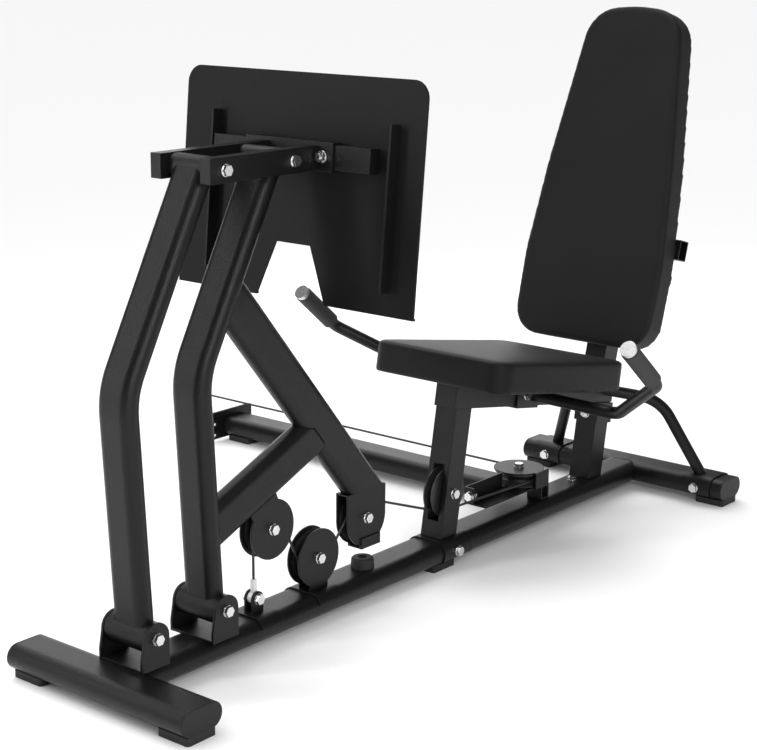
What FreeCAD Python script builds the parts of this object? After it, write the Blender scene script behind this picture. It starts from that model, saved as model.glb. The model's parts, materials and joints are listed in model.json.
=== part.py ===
import FreeCAD, Part
import math, os
import Sketcher
from FreeCAD import Vector, Rotation, Placement

# Leg press for a home gym: a floor frame with a seat at one end and, at the
# other, a foot plate on a four-bar linkage.  The rear arm of the linkage
# carries a forked lever with two cable pulleys.  Units are millimetres.
# Working axes: X along the rail from the foot plate towards the backrest,
# Y across (the connecting tube runs to +Y), Z up, Z = 0 on the floor.  X = 0
# is the front arm's lower pivot until every piece is shifted by origin_x and
# origin_y, which put the origin under the middle of the whole machine.

SIZES = [
    # floor frame
    ("rail_wide", 90, "flat-oval rail, across"),
    ("rail_high", 45, "flat-oval rail, height"),
    ("rail_wall", 2.5, "wall of the floor tubes"),
    ("foot_high", 14, "floor pad height"),
    ("front_base_x", -56.5, "front base tube, centre"),
    ("front_base_long", 415, "front base tube length"),
    ("rear_base_x", 1552, "rear base tube, centre"),
    ("rear_base_long", 524, "rear base tube length"),
    ("cap_thick", 4, "end cap flange"),
    ("cap_plug", 18, "end cap plug depth"),
    ("cap_clear", 0.2, "plug clearance"),
    ("link_x", 1224, "connecting tube, centre"),
    ("link_end", 955, "connecting tube, far end Y"),
    ("plate_x", 1214, "fastening plate, centre"),
    ("plate_wide", 140, "fastening plate, width"),
    ("plate_top", 77, "fastening plate, top"),
    ("plate_low", 8, "fastening plate, bottom"),
    ("plate_thick", 5, "fastening plate thickness"),
    ("plate_hole", 9, "fastening hole"),
    ("plate_pitch_x", 120, "hole pitch, X"),
    ("plate_pitch_z", 28, "hole pitch, Z"),
    ("plate_hole_z", 32, "hole pattern, centre Z"),
    ("pad_long", 70, "floor pad along the tube"),
    ("pad_wide", 64, "floor pad across the tube"),
    ("pad_past", 4, "floor pad past the tube end"),
    ("joint_x", 806, "where the two rails meet"),
    ("saddle_front", 787, "joint saddle, front edge"),
    ("saddle_long", 92, "joint saddle length"),
    ("saddle_bolt", 829, "joint bolt X"),
    ("upright_bolt", 1315, "upright bolt on the rail, X"),
    ("sheet_thick", 3, "saddle and pulley cheek sheet"),
    # linkage
    ("pivot_z", 110.7, "lower pivot height"),
    ("pivot_gap", 164, "distance between the arms"),
    ("arm_low", 411.9, "arm, pivot to bend"),
    ("arm_high", 391.4, "arm, bend to top pivot"),
    ("arm_tilt", -3.17, "lower leg from upright, degrees"),
    ("arm_bend", 31.06, "bend, degrees"),
    ("arm_bend_rad", 140, "bend radius"),
    ("arm_wide", 76, "arm tube across"),
    ("arm_thick", 38, "arm tube depth"),
    ("arm_wall", 2.5, "arm tube wall"),
    ("barrel_dia", 40, "upper pivot barrel"),
    ("barrel_low", 54, "lower pivot barrel"),
    ("barrel_bore", 30, "barrel bore"),
    ("bush_long", 22, "bushing length"),
    ("side_gap", 0.5, "side clearance at the pivots"),
    ("clevis_out", 52.5, "clevis cheek, outer face"),
    ("clevis_thick", 5, "clevis plate"),
    ("clevis_back", 34, "clevis, in front of the pivot"),
    ("clevis_ahead", 28, "clevis, behind the pivot"),
    ("clevis_round", 28, "cheek top radius"),
    ("bolt_dia", 10, "bolt"),
    ("hole_dia", 10.4, "bolt hole"),
    ("bore_dia", 10.1, "running bore on a bolt"),
    ("washer_dia", 21, "washer"),
    ("washer_thick", 2, "washer"),
    ("hex_flat", 17, "across flats"),
    ("head_high", 6.5, "bolt head"),
    ("nut_high", 8, "nut"),
    ("stud_out", 3, "bolt end past the nut"),
    # foot plate carrier
    ("bar_out", 68.2, "carrier bar, outer face"),
    ("bar_thick", 23, "carrier bar, across"),
    ("bar_high", 42, "carrier bar, height"),
    ("bar_wall", 2, "carrier bar wall"),
    ("bar_lead", 34.3, "bar in front of the front top pivot"),
    ("bar_tail", 57.7, "bar behind the rear top pivot"),
    ("sleeve_half", 101.6, "sleeve, half length"),
    ("sleeve_thick", 4, "sleeve plate"),
    ("cross_half", 181, "crossbar, half length"),
    ("sleeve_bolt_y", 80, "sleeve bolt, off centre"),
    ("foot_lean", 5.5, "foot plate lean, degrees"),
    ("foot_wide", 552, "foot plate width"),
    ("foot_up", 139, "foot plate above the crossbar"),
    ("foot_down", 256, "foot plate below the crossbar"),
    ("foot_thick", 4, "foot plate thickness"),
    ("foot_round", 32, "corner radius"),
    ("foot_lip", 3, "folded lip"),
    ("notch_top", 80, "notch width, top"),
    ("notch_low", 160, "notch width, bottom"),
    ("notch_high", 99, "notch height"),
    ("rib_far", 189, "far stiffener Y"),
    ("rib_near", -219, "near stiffener Y"),
    ("rib_deep", 22, "stiffener depth"),
    ("rib_thick", 4, "stiffener thickness"),
    ("rib_up", 64, "stiffener above the crossbar"),
    ("rib_down", 216, "stiffener below the crossbar"),
    # lever
    ("lever_high", 80, "lever tube depth"),
    ("lever_thick", 40, "lever tube across"),
    ("lever_wall", 2.5, "lever tube wall"),
    ("beam_x", 235.2, "point on the beam axis, X"),
    ("beam_z", 635, "point on the beam axis, Z"),
    ("beam_slope", 50, "beam below level, degrees"),
    ("fork_top", 219, "top of the lever-end fork"),
    ("brace_x", 221.3, "point on the brace axis, X"),
    ("brace_z", 264.5, "point on the brace axis, Z"),
    ("brace_slope", 22.6, "brace above level, degrees"),
    # pulleys
    ("cheek_dia", 111, "pulley cheek disc"),
    ("sheave_dia", 94, "pulley under the brace and on the rail"),
    ("fork_sheave", 102, "lever-end pulley"),
    ("sheave_wide", 22, "pulley width"),
    ("sheave_side", 0.5, "pulley to cheek"),
    ("groove_rad", 36, "cable centre radius"),
    ("groove_rad_fork", 34, "cable centre radius, lever-end pulley"),
    ("groove_rad_post", 42, "cable centre radius, post pulley"),
    ("groove_rad_flat", 47, "cable centre radius, flat pulley"),
    ("cable_dia", 5, "cable"),
    ("cable_clear", 0.4, "cable to groove"),
    ("pul_brace_x", 321, "brace pulley X"),
    ("pul_brace_z", 208, "brace pulley Z"),
    ("pul_rail_x", 445, "rail pulley X"),
    ("pul_rail_z", 120, "rail pulley Z"),
    ("pul_fork_x", 582, "lever-end pulley X"),
    ("pul_fork_z", 163, "lever-end pulley Z"),
    ("pul_post_x", 841, "post pulley X"),
    ("pul_post_z", 149, "post pulley Z"),
    ("post_sheave", 106, "post pulley diameter"),
    ("pul_flat_x", 1141, "flat pulley X"),
    ("pul_flat_y", 25, "flat pulley Y"),
    ("flat_wide", 29, "flat pulley width"),
    ("flat_sheave", 104, "flat pulley diameter"),
    ("stop_x", 587, "bump stop X"),
    ("stop_low_dia", 46, "bump stop, base"),
    ("stop_top_dia", 41, "bump stop, top"),
    ("stop_high", 21, "bump stop height"),
    ("shoe_long", 55, "fork shoe length"),
    ("shoe_low", 107, "fork shoe, bottom"),
    ("shoe_high", 18, "fork shoe, height"),
    ("anchor_z", 86, "cable anchor bolt Z"),
    ("anchor_wide", 28, "anchor lug width"),
    ("anchor_gap", 13, "between the lugs"),
    ("ferrule_dia", 11.5, "swaged ferrule"),
    ("ferrule_top", 121, "ferrule top"),
    # seat
    ("seat_lean", 10, "seat and posts, degrees"),
    ("beam_front_x", 843, "seat beam, lower front corner X"),
    ("beam_front_z", 324, "seat beam, lower front corner Z"),
    ("seat_beam_long", 588, "seat beam length"),
    ("seat_beam_high", 48, "seat beam height"),
    ("tube_wide", 51, "square tube"),
    ("tube_wall", 2.5, "square tube wall"),
    ("front_post_at", 28.6, "front post along the beam"),
    ("rear_post_at", 561, "rear post along the beam"),
    ("slot_wide", 27, "post slot"),
    ("slot_low", 92, "post slot, bottom"),
    ("slot_top", 206, "post slot, top"),
    ("board_thick", 14, "seat board"),
    ("board_inset", 30, "seat board inside the pad"),
    ("seat_front", -54, "pad front along the beam"),
    ("seat_long", 463, "seat pad length"),
    ("seat_wide", 328, "seat pad width"),
    ("seat_thick", 64, "seat pad thickness"),
    ("seat_round", 38, "seat pad corner"),
    ("back_lean", 15.5, "backrest, degrees"),
    ("back_x", 1309, "back pad, lower front edge X"),
    ("back_z", 380, "back pad, lower front edge Z"),
    ("back_long", 739, "back pad length"),
    ("back_thick", 58, "back pad thickness"),
    ("back_low_half", 171, "back pad, half width at the foot"),
    ("back_mid_half", 176, "back pad, greatest half width"),
    ("back_top_half", 119, "back pad, half width at the head"),
    ("back_corner_low", 62, "back pad, lower corner"),
    ("back_corner_top", 78, "back pad, upper corner"),
    ("back_soft", 9, "back pad, front edge"),
    ("back_board", 8, "back board"),
    ("back_rail_deep", 33, "back crossbar, depth"),
    ("back_rail_high", 43, "back crossbar, height"),
    ("back_rail_half", 180, "lower back crossbar, half length"),
    ("back_rail_short", 100, "upper back crossbar, half length"),
    ("back_rail_one", 228, "lower crossbar up the pad"),
    ("back_rail_two", 520, "upper crossbar up the pad"),
    ("back_post_top", 585, "backrest post, top up the pad"),
    # handles
    ("handle_tube", 25.4, "handle and brace tube"),
    ("handle_wall", 2, "handle tube wall"),
    ("handle_root", 263, "handle along the beam"),
    ("handle_bolt", 239, "handle bracket bolt along the beam"),
    ("bracket_from", 209, "handle bracket, front along the beam"),
    ("bracket_long", 78, "handle bracket length"),
    ("bracket_thick", 4, "handle bracket plate"),
    ("elbow_x", 1128, "handle elbow X"),
    ("elbow_y", 224, "handle elbow Y"),
    ("elbow_z", 290, "handle elbow Z"),
    ("wrist_x", 973, "grip lower end X"),
    ("wrist_y", 402, "grip lower end Y"),
    ("wrist_z", 410, "grip lower end Z"),
    ("grip_long", 112, "grip length"),
    ("grip_rise", 39.6, "grip above level, degrees"),
    ("grip_dia", 35, "foam grip"),
    ("grip_cap", 10, "grip end cap"),
    ("handle_rad", 45, "handle bend radius"),
    ("brace_foot_y", 201, "rear brace foot, off centre"),
    ("brace_knee_x", 1482, "rear brace bend X"),
    ("brace_knee_y", 117, "rear brace bend, off centre"),
    ("brace_knee_z", 231, "rear brace bend Z"),
    ("brace_top_x", 1404, "rear brace top X"),
    ("brace_top_z", 253, "rear brace top Z"),
    ("brace_rad", 100, "rear brace bend radius"),
    ("brace_saddle", 74, "rear brace saddle width"),
    # flat pulley block
    ("block_front", 952, "block floor, front X"),
    ("block_near", -26, "block floor, near edge Y"),
    ("block_flange", 30, "block flange Y"),
    ("block_disc", 108, "block disc"),
    ("stand_from", 1151, "block stand, front X"),
    ("stand_long", 28, "block stand length"),
    ("stand_near", -28, "block stand, near edge Y"),
    ("stand_deep", 37, "block stand depth"),
    ("tail_long", 980, "cable past the flat pulley"),
    ("tail_fit", 34, "cable end fitting"),
]

doc = FreeCAD.newDocument("LegPress")
sheet = doc.addObject("Spreadsheet::Sheet", "Sizes")
for row, (alias, value, note) in enumerate(SIZES, start=1):
    sheet.set("A%d" % row, alias)
    sheet.set("B%d" % row, str(value))
    sheet.set("C%d" % row, note)
    sheet.setAlias("B%d" % row, alias)
doc.recompute()


class Q:
    """A size with its expression, so that sketches and placements stay bound to the sheet."""
    def __init__(self, text, value, fixed=False):
        self.text, self.value, self.fixed = text, float(value), fixed

    def _two(self, other, sign, value, flip=False):
        other = q(other)
        a, b = (other, self) if flip else (self, other)
        return Q("(%s %s %s)" % (a.text, sign, b.text), value(a.value, b.value), a.fixed and b.fixed)

    def __add__(self, o): return self._two(o, "+", lambda a, b: a + b)
    def __radd__(self, o): return self._two(o, "+", lambda a, b: a + b, True)
    def __sub__(self, o): return self._two(o, "-", lambda a, b: a - b)
    def __rsub__(self, o): return self._two(o, "-", lambda a, b: a - b, True)
    def __mul__(self, o): return self._two(o, "*", lambda a, b: a * b)
    def __rmul__(self, o): return self._two(o, "*", lambda a, b: a * b, True)
    def __truediv__(self, o): return self._two(o, "/", lambda a, b: a / b)
    def __neg__(self): return Q("(0 - %s)" % self.text, -self.value, self.fixed)
    def __float__(self): return self.value


def q(v):
    return v if isinstance(v, Q) else Q("(%.6f)" % v, v, True)


def S(alias):
    return Q("Sizes." + alias, sheet.get(alias))


def qsin(a): return Q("sin(%s * 1 deg)" % q(a).text, math.sin(math.radians(q(a).value)), q(a).fixed)
def qcos(a): return Q("cos(%s * 1 deg)" % q(a).text, math.cos(math.radians(q(a).value)), q(a).fixed)
def qtan(a): return qsin(a) / qcos(a)


# shared values -----------------------------------------------------------
half_base = S("rail_wide") / 2
end_x = S("rear_base_x") + half_base + S("sheet_thick") + S("washer_thick") + S("nut_high") + S("stud_out")
origin_x = (S("front_base_x") - half_base + end_x) / 2
top_y = S("link_end") + S("plate_thick")
low_y = -(S("wrist_y") + S("grip_dia") / 2)
origin_y = (top_y + low_y) / 2
rail_low = S("foot_high")
rail_mid = rail_low + S("rail_high") / 2
rail_top = rail_low + S("rail_high")
plate_top_z = rail_top + S("sheet_thick")
SHIFT = Vector(-origin_x.value, -origin_y.value, 0)

NODES = []


def keep(obj, label):
    obj.Label = label
    if obj.Label != label:
        raise RuntimeError("a second object is named " + label)
    NODES.append(obj)
    return obj


def place(obj, x=0, y=0, z=0, axis=(0, 0, 1), angle=0):
    """Put an object at a point of the working axes, shifted to the machine's origin."""
    x, y, z, angle = q(x) - origin_x, q(y) - origin_y, q(z), q(angle)
    obj.Placement = Placement(Vector(x.value, y.value, z.value), Rotation(Vector(*axis), angle.value))
    for name, v in (("x", x), ("y", y), ("z", z)):
        if not v.fixed:
            obj.setExpression("Placement.Base." + name, v.text)
    if not angle.fixed:
        obj.setExpression("Placement.Rotation.Angle", angle.text)
    return obj


class Piece:
    """A PartDesign body drawn on its own origin planes."""
    planes = {"XY": ("XY_Plane", 1), "XZ": ("XZ_Plane", -1), "YZ": ("YZ_Plane", 1)}

    def __init__(self, name, many=False):
        self.body = doc.addObject("PartDesign::Body", name)
        if many and hasattr(self.body, "AllowCompound"):
            self.body.AllowCompound = True
        self.count = 0

    def sketch(self, plane, at, loops):
        role, sign = self.planes[plane]
        sk = self.body.newObject("Sketcher::SketchObject", self.body.Name + "_sk%d" % self.count)
        self.count += 1
        base = [f for f in self.body.Origin.OriginFeatures if f.Role == role][0]
        sk.AttachmentSupport = [(base, "")]
        sk.MapMode = "FlatFace"
        off = q(at) * sign
        sk.AttachmentOffset = Placement(Vector(0, 0, off.value), Rotation())
        if not off.fixed:
            sk.setExpression("AttachmentOffset.Base.z", off.text)
        for loop in loops:
            getattr(self, "_" + loop[0])(sk, *loop[1:])
        return sk

    def _con(self, sk, kind, args, v):
        v = q(v)
        i = sk.addConstraint(Sketcher.Constraint(kind, *args, v.value))
        if not v.fixed:
            sk.setExpression("Constraints[%d]" % i, v.text)

    def _point(self, sk, geo, pos, x, y):
        for kind, v, line in (("DistanceX", q(x), -2), ("DistanceY", q(y), -1)):
            if v.fixed and abs(v.value) < 1e-9:
                sk.addConstraint(Sketcher.Constraint("PointOnObject", geo, pos, line))
            else:
                self._con(sk, kind, (-1, 1, geo, pos), v)

    def _poly(self, sk, points):
        points = [(q(x), q(y)) for x, y in points]
        first = sk.GeometryCount
        for i, (x, y) in enumerate(points):
            nx, ny = points[(i + 1) % len(points)]
            sk.addGeometry(Part.LineSegment(Vector(x.value, y.value, 0), Vector(nx.value, ny.value, 0)))
        for i in range(len(points)):
            sk.addConstraint(Sketcher.Constraint("Coincident", first + i, 2, first + (i + 1) % len(points),
                                                 1))
        for i, (x, y) in enumerate(points):
            self._point(sk, first + i, 1, x, y)

    def _circle(self, sk, x, y, r):
        x, y, r = q(x), q(y), q(r)
        g = sk.addGeometry(Part.Circle(Vector(x.value, y.value, 0), Vector(0, 0, 1), r.value))
        self._point(sk, g, 3, x, y)
        self._con(sk, "Radius", (g,), r)

    def _slot(self, sk, x1, y1, x2, y2, r):
        x1, y1, x2, y2, r = [q(v) for v in (x1, y1, x2, y2, r)]
        a = math.atan2(y2.value - y1.value, x2.value - x1.value)
        n = Vector(-math.sin(a), math.cos(a), 0) * r.value
        c1, c2 = Vector(x1.value, y1.value, 0), Vector(x2.value, y2.value, 0)
        g = sk.GeometryCount
        sk.addGeometry(Part.ArcOfCircle(Part.Circle(c2, Vector(0, 0, 1), r.value), a - math.pi / 2,
                                        a + math.pi / 2))
        sk.addGeometry(Part.LineSegment(c2 + n, c1 + n))
        sk.addGeometry(Part.ArcOfCircle(Part.Circle(c1, Vector(0, 0, 1), r.value), a + math.pi / 2,
                                        a + math.pi * 1.5))
        sk.addGeometry(Part.LineSegment(c1 - n, c2 - n))
        for i, j in ((0, 1), (1, 2), (2, 3), (3, 0)):
            sk.addConstraint(Sketcher.Constraint("Tangent", g + i, 2, g + j, 1))
        self._point(sk, g, 3, x2, y2)
        self._point(sk, g + 2, 3, x1, y1)
        self._con(sk, "Radius", (g,), r)

    def pad(self, plane, loops, lo, hi):
        start = hi if plane == "XZ" else lo
        sk = self.sketch(plane, start, loops)
        f = self.body.newObject("PartDesign::Pad", self.body.Name + "_pad%d" % self.count)
        f.Profile = sk
        depth = q(hi) - q(lo)
        f.Length = depth.value
        if not depth.fixed:
            f.setExpression("Length", depth.text)
        self.body.Tip = f
        return self

    def cut(self, plane, loops, lo, hi):
        doc.recompute()
        before = self.body.Shape.Volume
        start = lo if plane == "XZ" else hi
        sk = self.sketch(plane, start, loops)
        f = self.body.newObject("PartDesign::Pocket", self.body.Name + "_cut%d" % self.count)
        f.Profile = sk
        depth = q(hi) - q(lo)
        f.Length = depth.value
        if not depth.fixed:
            f.setExpression("Length", depth.text)
        self.body.Tip = f
        doc.recompute()
        if self.body.Shape.Volume >= before:
            raise RuntimeError("a pocket of %s removed nothing" % self.body.Name)
        return self

    def turn(self, loops):
        """Revolve a profile drawn in XZ, with X the radius and Z along the axis."""
        sk = self.sketch("XZ", 0, loops)
        f = self.body.newObject("PartDesign::Revolution", self.body.Name + "_turn%d" % self.count)
        f.Profile = sk
        f.ReferenceAxis = (sk, ["V_Axis"])
        f.Angle = 360
        self.body.Tip = f
        return self

    def pipe(self, profile, path, kind="PartDesign::AdditivePipe"):
        f = self.body.newObject(kind, self.body.Name + "_pipe%d" % self.count)
        f.Profile = profile
        f.Spine = (path, ["Edge%d" % (i + 1) for i in range(path.GeometryCount)])
        self.body.Tip = f
        return self

    def round(self, radius, pick):
        doc.recompute()
        shape = self.body.Shape
        names = ["Edge%d" % (i + 1) for i, e in enumerate(shape.Edges) if pick(e)]
        if not names:
            raise RuntimeError("no edge to round on %s" % self.body.Name)
        base = self.body.Tip
        f = self.body.newObject("PartDesign::Fillet", self.body.Name + "_fillet%d" % self.count)
        self.count += 1
        f.Base = (base, names)
        f.Radius = q(radius).value
        if not q(radius).fixed:
            f.setExpression("Radius", q(radius).text)
        self.body.Tip = f
        return self

    def at(self, *args, **kw):
        place(self.body, *args, **kw)
        return self

    def node(self, label):
        return keep(self.body, label)


def oval(cx, cz, wide, high, inset=0):
    """Flat-oval loop, long way along the sketch's X."""
    r = q(high) / 2 - inset
    reach = (q(wide) - q(high)) / 2
    return ("slot", q(cx) - reach, cz, q(cx) + reach, cz, r)


def oval_up(cx, cz, wide, high):
    """Flat-oval loop, long way along the sketch's Y."""
    reach = (q(high) - q(wide)) / 2
    return ("slot", cx, q(cz) - reach, cx, q(cz) + reach, q(wide) / 2)


def frame(x1, y1, x2, y2):
    return ("poly", [(x1, y1), (x2, y1), (x2, y2), (x1, y2)])


def straight(edge, axis):
    """True for a straight edge that runs along an axis."""
    if edge.Curve.TypeId != "Part::GeomLine":
        return False
    d = edge.Curve.Direction
    return abs(abs(d.dot(Vector(*axis))) - 1) < 1e-6


def bound(obj, **sizes):
    for prop, v in sizes.items():
        v = q(v)
        setattr(obj, prop, v.value)
        if not v.fixed:
            obj.setExpression(prop, v.text)
    return obj


def local(obj, x=0, y=0, z=0):
    """Placement inside a group."""
    x, y, z = q(x), q(y), q(z)
    obj.Placement = Placement(Vector(x.value, y.value, z.value), Rotation())
    for name, v in (("x", x), ("y", y), ("z", z)):
        if not v.fixed:
            obj.setExpression("Placement.Base." + name, v.text)
    return obj


def group(label, parts):
    g = doc.addObject("Part::Compound", label)
    g.Links = parts
    return keep(g, label)


def bolt(name, x, y, z, axis, angle, grip, nut=True):
    """Bolt with washers and a nut: the head bears at the given point and the shank runs along local -Z."""
    grip = q(grip)
    w, t = S("washer_dia") / 2, S("washer_thick")
    corner = S("hex_flat") / 2 / math.cos(math.radians(30))
    end = grip + t + S("nut_high") + S("stud_out") if nut else grip
    shank = bound(doc.addObject("Part::Cylinder", name + "_shank"), Radius=S("bolt_dia") / 2, Height=end)
    local(shank, z=-end)
    parts = [shank, bound(doc.addObject("Part::Cylinder", name + "_washer"), Radius=w, Height=t)]
    head = bound(doc.addObject("Part::Prism", name + "_head"), Circumradius=corner, Height=S("head_high"))
    head.Polygon = 6
    local(head, z=t)
    parts.append(head)
    if nut:
        wb = bound(doc.addObject("Part::Cylinder", name + "_washer2"), Radius=w, Height=t)
        local(wb, z=-(grip + t))
        nb = bound(doc.addObject("Part::Prism", name + "_nut"), Circumradius=corner, Height=S("nut_high"))
        nb.Polygon = 6
        local(nb, z=-(grip + t + S("nut_high")))
        parts += [wb, nb]
    f = doc.addObject("Part::MultiFuse", name)
    f.Shapes = parts
    return place(f, x, y, z, axis, angle)


TO_NEAR = ((1, 0, 0), 90)     # head towards -Y, shank towards +Y
TO_FRONT = ((0, 1, 0), -90)   # head towards -X, shank towards +X

# floor frame -------------------------------------------------------------
wall = S("rail_wall")


def base_tube(name, x, long, holes=()):
    half = q(long) / 2
    p = Piece(name)
    p.pad("XZ", [oval(x, rail_mid, S("rail_wide"), S("rail_high")),
                 oval(x, rail_mid, S("rail_wide"), S("rail_high"), wall)], -half, half)
    for y in holes:
        p.cut("YZ", [("circle", y, rail_mid, S("hole_dia") / 2)], q(x) - 80, q(x) + 80)
    return p.at().node(name)


base_tube("front_base_tube", S("front_base_x"), S("front_base_long"))
base_tube("rear_base_tube", S("rear_base_x"), S("rear_base_long"), (-S("brace_foot_y"), S("brace_foot_y")))


def rail(name, lo, hi, base_x, holes, upright=None):
    p = Piece(name)
    p.pad("YZ", [oval(0, rail_mid, S("rail_wide"), S("rail_high")),
                 oval(0, rail_mid, S("rail_wide"), S("rail_high"), wall)], lo, hi)
    p.cut("XZ", [oval(base_x, rail_mid, S("rail_wide"), S("rail_high"))], -S("rail_wide"), S("rail_wide"))
    for x in holes:
        p.cut("XZ", [("circle", x, rail_mid, S("hole_dia") / 2)], -S("rail_wide"), S("rail_wide"))
    if upright is not None:
        p.cut("XY", [("circle", upright, 0, S("hole_dia") / 2)], 0, rail_top + 5)
    return p.at().node(name)


saddle_bolt_x = S("saddle_bolt")
inner_reach = (S("rail_wide") - S("rail_high")) / 2
rail("front_rail", S("front_base_x") + inner_reach, S("joint_x"), S("front_base_x"), [])
rail("rear_rail", S("joint_x"), S("rear_base_x") - inner_reach, S("rear_base_x"), [saddle_bolt_x],
     S("upright_bolt"))

# plastic end caps of the floor tubes, the seat beam and the backrest post
caps = []


def oval_cap(name, x, y_in, out):
    p = Piece(name)
    t, d = S("cap_thick"), S("cap_plug")
    y_in = q(y_in)
    face = (y_in, y_in + t) if out > 0 else (y_in - t, y_in)
    plug = (y_in - d, y_in) if out > 0 else (y_in, y_in + d)
    p.pad("XZ", [oval(x, rail_mid, S("rail_wide"), S("rail_high"))], *face)
    p.pad("XZ", [oval(x, rail_mid, S("rail_wide"), S("rail_high"), wall + S("cap_clear"))], *plug)
    caps.append(p.at().body)


for tag, x, long in (("front", S("front_base_x"), S("front_base_long")),
                     ("rear", S("rear_base_x"), S("rear_base_long"))):
    oval_cap("cap_%s_far" % tag, x, long / 2, 1)
    oval_cap("cap_%s_near" % tag, x, -long / 2, -1)

# rubber floor pads
pads = []


def floor_pad(name, x, y, along_y=True):
    lx, ly = (S("pad_wide"), S("pad_long")) if along_y else (S("pad_long"), S("pad_wide"))
    p = Piece(name)
    p.pad("XY", [frame(q(x) - lx / 2, q(y) - ly / 2, q(x) + lx / 2, q(y) + ly / 2)], 0, S("foot_high"))
    p.round(6, lambda e: straight(e, (0, 0, 1)))
    pads.append(p.at().body)


off = S("pad_long") / 2 - S("pad_past")
for tag, x, long in (("front", S("front_base_x"), S("front_base_long")),
                     ("rear", S("rear_base_x"), S("rear_base_long"))):
    floor_pad("pad_%s_far" % tag, x, long / 2 - off)
    floor_pad("pad_%s_near" % tag, x, off - long / 2)
floor_pad("pad_joint", S("joint_x"), 0, False)
floor_pad("pad_link", S("link_x"), S("link_end") - S("pad_long") / 2 - 6)
group("floor_pads", pads)

# saddle that joins the rails, and the foot of the front post
t3 = S("sheet_thick")


def saddle_loop():
    return oval(0, rail_mid, S("rail_wide") + t3 * 2, S("rail_high") + t3 * 2)


p = Piece("rail_saddle")
p.pad("YZ", [saddle_loop(), oval(0, rail_mid, S("rail_wide"), S("rail_high"))], S("saddle_front"),
      S("saddle_front") + S("saddle_long"))
p.cut("YZ", [frame(-S("rail_wide"), rail_low - 10, S("rail_wide"), rail_low + 8)], S("saddle_front") - 5,
      S("saddle_front") + S("saddle_long") + 5)
p.cut("XZ", [("circle", saddle_bolt_x, rail_mid, S("hole_dia") / 2)], -S("rail_wide"), S("rail_wide"))
p.at().node("rail_saddle")

# connecting tube and its fastening plate
p = Piece("connecting_tube")
p.pad("XZ", [oval(S("link_x"), rail_mid, S("rail_wide"), S("rail_high")),
             oval(S("link_x"), rail_mid, S("rail_wide"), S("rail_high"), wall)], inner_reach, S("link_end"))
p.cut("YZ", [oval(0, rail_mid, S("rail_wide"), S("rail_high"))], S("link_x") - S("rail_wide"),
      S("link_x") + S("rail_wide"))
p.at().node("connecting_tube")
p = Piece("mount_plate")
hx, hz = S("plate_pitch_x") / 2, S("plate_pitch_z") / 2
outline = frame(S("plate_x") - S("plate_wide") / 2, S("plate_low"), S("plate_x") + S("plate_wide") / 2,
                S("plate_top"))
holes = [("circle", S("plate_x") + hx * i, S("plate_hole_z") + hz * j, S("plate_hole") / 2) for i in (-1,
        1) for j in (-1, 1)]
p.pad("XZ", [outline] + holes, S("link_end"), top_y)
p.round(6, lambda e: straight(e, (0, 1, 0)))
p.at().node("mount_plate")

# linkage -----------------------------------------------------------------
top_dx = S("arm_low") * qsin(S("arm_tilt")) + S("arm_high") * qsin(S("arm_tilt") + S("arm_bend"))
top_dz = S("arm_low") * qcos(S("arm_tilt")) + S("arm_high") * qcos(S("arm_tilt") + S("arm_bend"))
top_z = S("pivot_z") + top_dz
cin = S("clevis_out") - S("clevis_thick")
bin_ = S("bar_out") - S("bar_thick")
clevises = []
for tag, x in (("front", q(0)), ("rear", S("pivot_gap"))):
    p = Piece("clevis_" + tag, many=True)
    z0 = rail_top
    p.pad("XY", [frame(x - S("clevis_back"), -S("clevis_out"), x + S("clevis_ahead"), S("clevis_out"))], z0,
          z0 + S("clevis_thick"))
    for lo, hi in ((-S("clevis_out"), -cin), (cin, S("clevis_out"))):
        p.pad("XZ", [frame(x - S("clevis_back"), z0, x + S("clevis_ahead"), S("pivot_z"))], lo, hi)
        p.pad("XZ", [("circle", x, S("pivot_z"), S("clevis_round"))], lo, hi)
    p.cut("XZ", [("circle", x, S("pivot_z"), S("hole_dia") / 2)], -S("clevis_out") - 1, S("clevis_out") + 1)
    p.cut("XZ", [("poly", [(x - S("clevis_back") - 1, z0 + 14),
                           (x - S("clevis_back") - 1, S("pivot_z") + 1),
                           (x - S("clevis_round"), S("pivot_z") + 1),
                           (x - S("clevis_round"), S("pivot_z"))])], -S("clevis_out") - 1,
                           S("clevis_out") + 1)
    clevises.append(p.at().body)
group("arm_clevises", clevises)


def arm_path(p):
    """Pivot to pivot in the arm's own frame: up along Z, round the bend, then on."""
    lo, hi, b = S("arm_low"), S("arm_high"), S("arm_bend")
    run = S("arm_bend_rad") * qsin(b / 2) / qcos(b / 2)
    ex, ez = hi * qsin(b), lo + hi * qcos(b)
    ax, az = run * qsin(b), lo + run * qcos(b)
    sk = p.sketch("XZ", 0, [])
    v = lambda x, y: Vector(q(x).value, q(y).value, 0)
    r = S("arm_bend_rad")
    sk.addGeometry(Part.LineSegment(v(0, 0), v(0, lo - run)))
    sk.addGeometry(Part.ArcOfCircle(Part.Circle(v(r, lo - run), Vector(0, 0, 1), r.value),
                                    math.pi - math.radians(b.value), math.pi))
    sk.addGeometry(Part.LineSegment(v(ax, az), v(ex, ez)))
    sk.addConstraint(Sketcher.Constraint("Coincident", 0, 1, -1, 1))
    sk.addConstraint(Sketcher.Constraint("Tangent", 0, 2, 1, 2))
    sk.addConstraint(Sketcher.Constraint("Tangent", 1, 1, 2, 1))
    p._point(sk, 0, 2, 0, lo - run)
    p._con(sk, "Radius", (1,), r)
    p._point(sk, 2, 2, ex, ez)
    return sk, ex, ez


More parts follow.
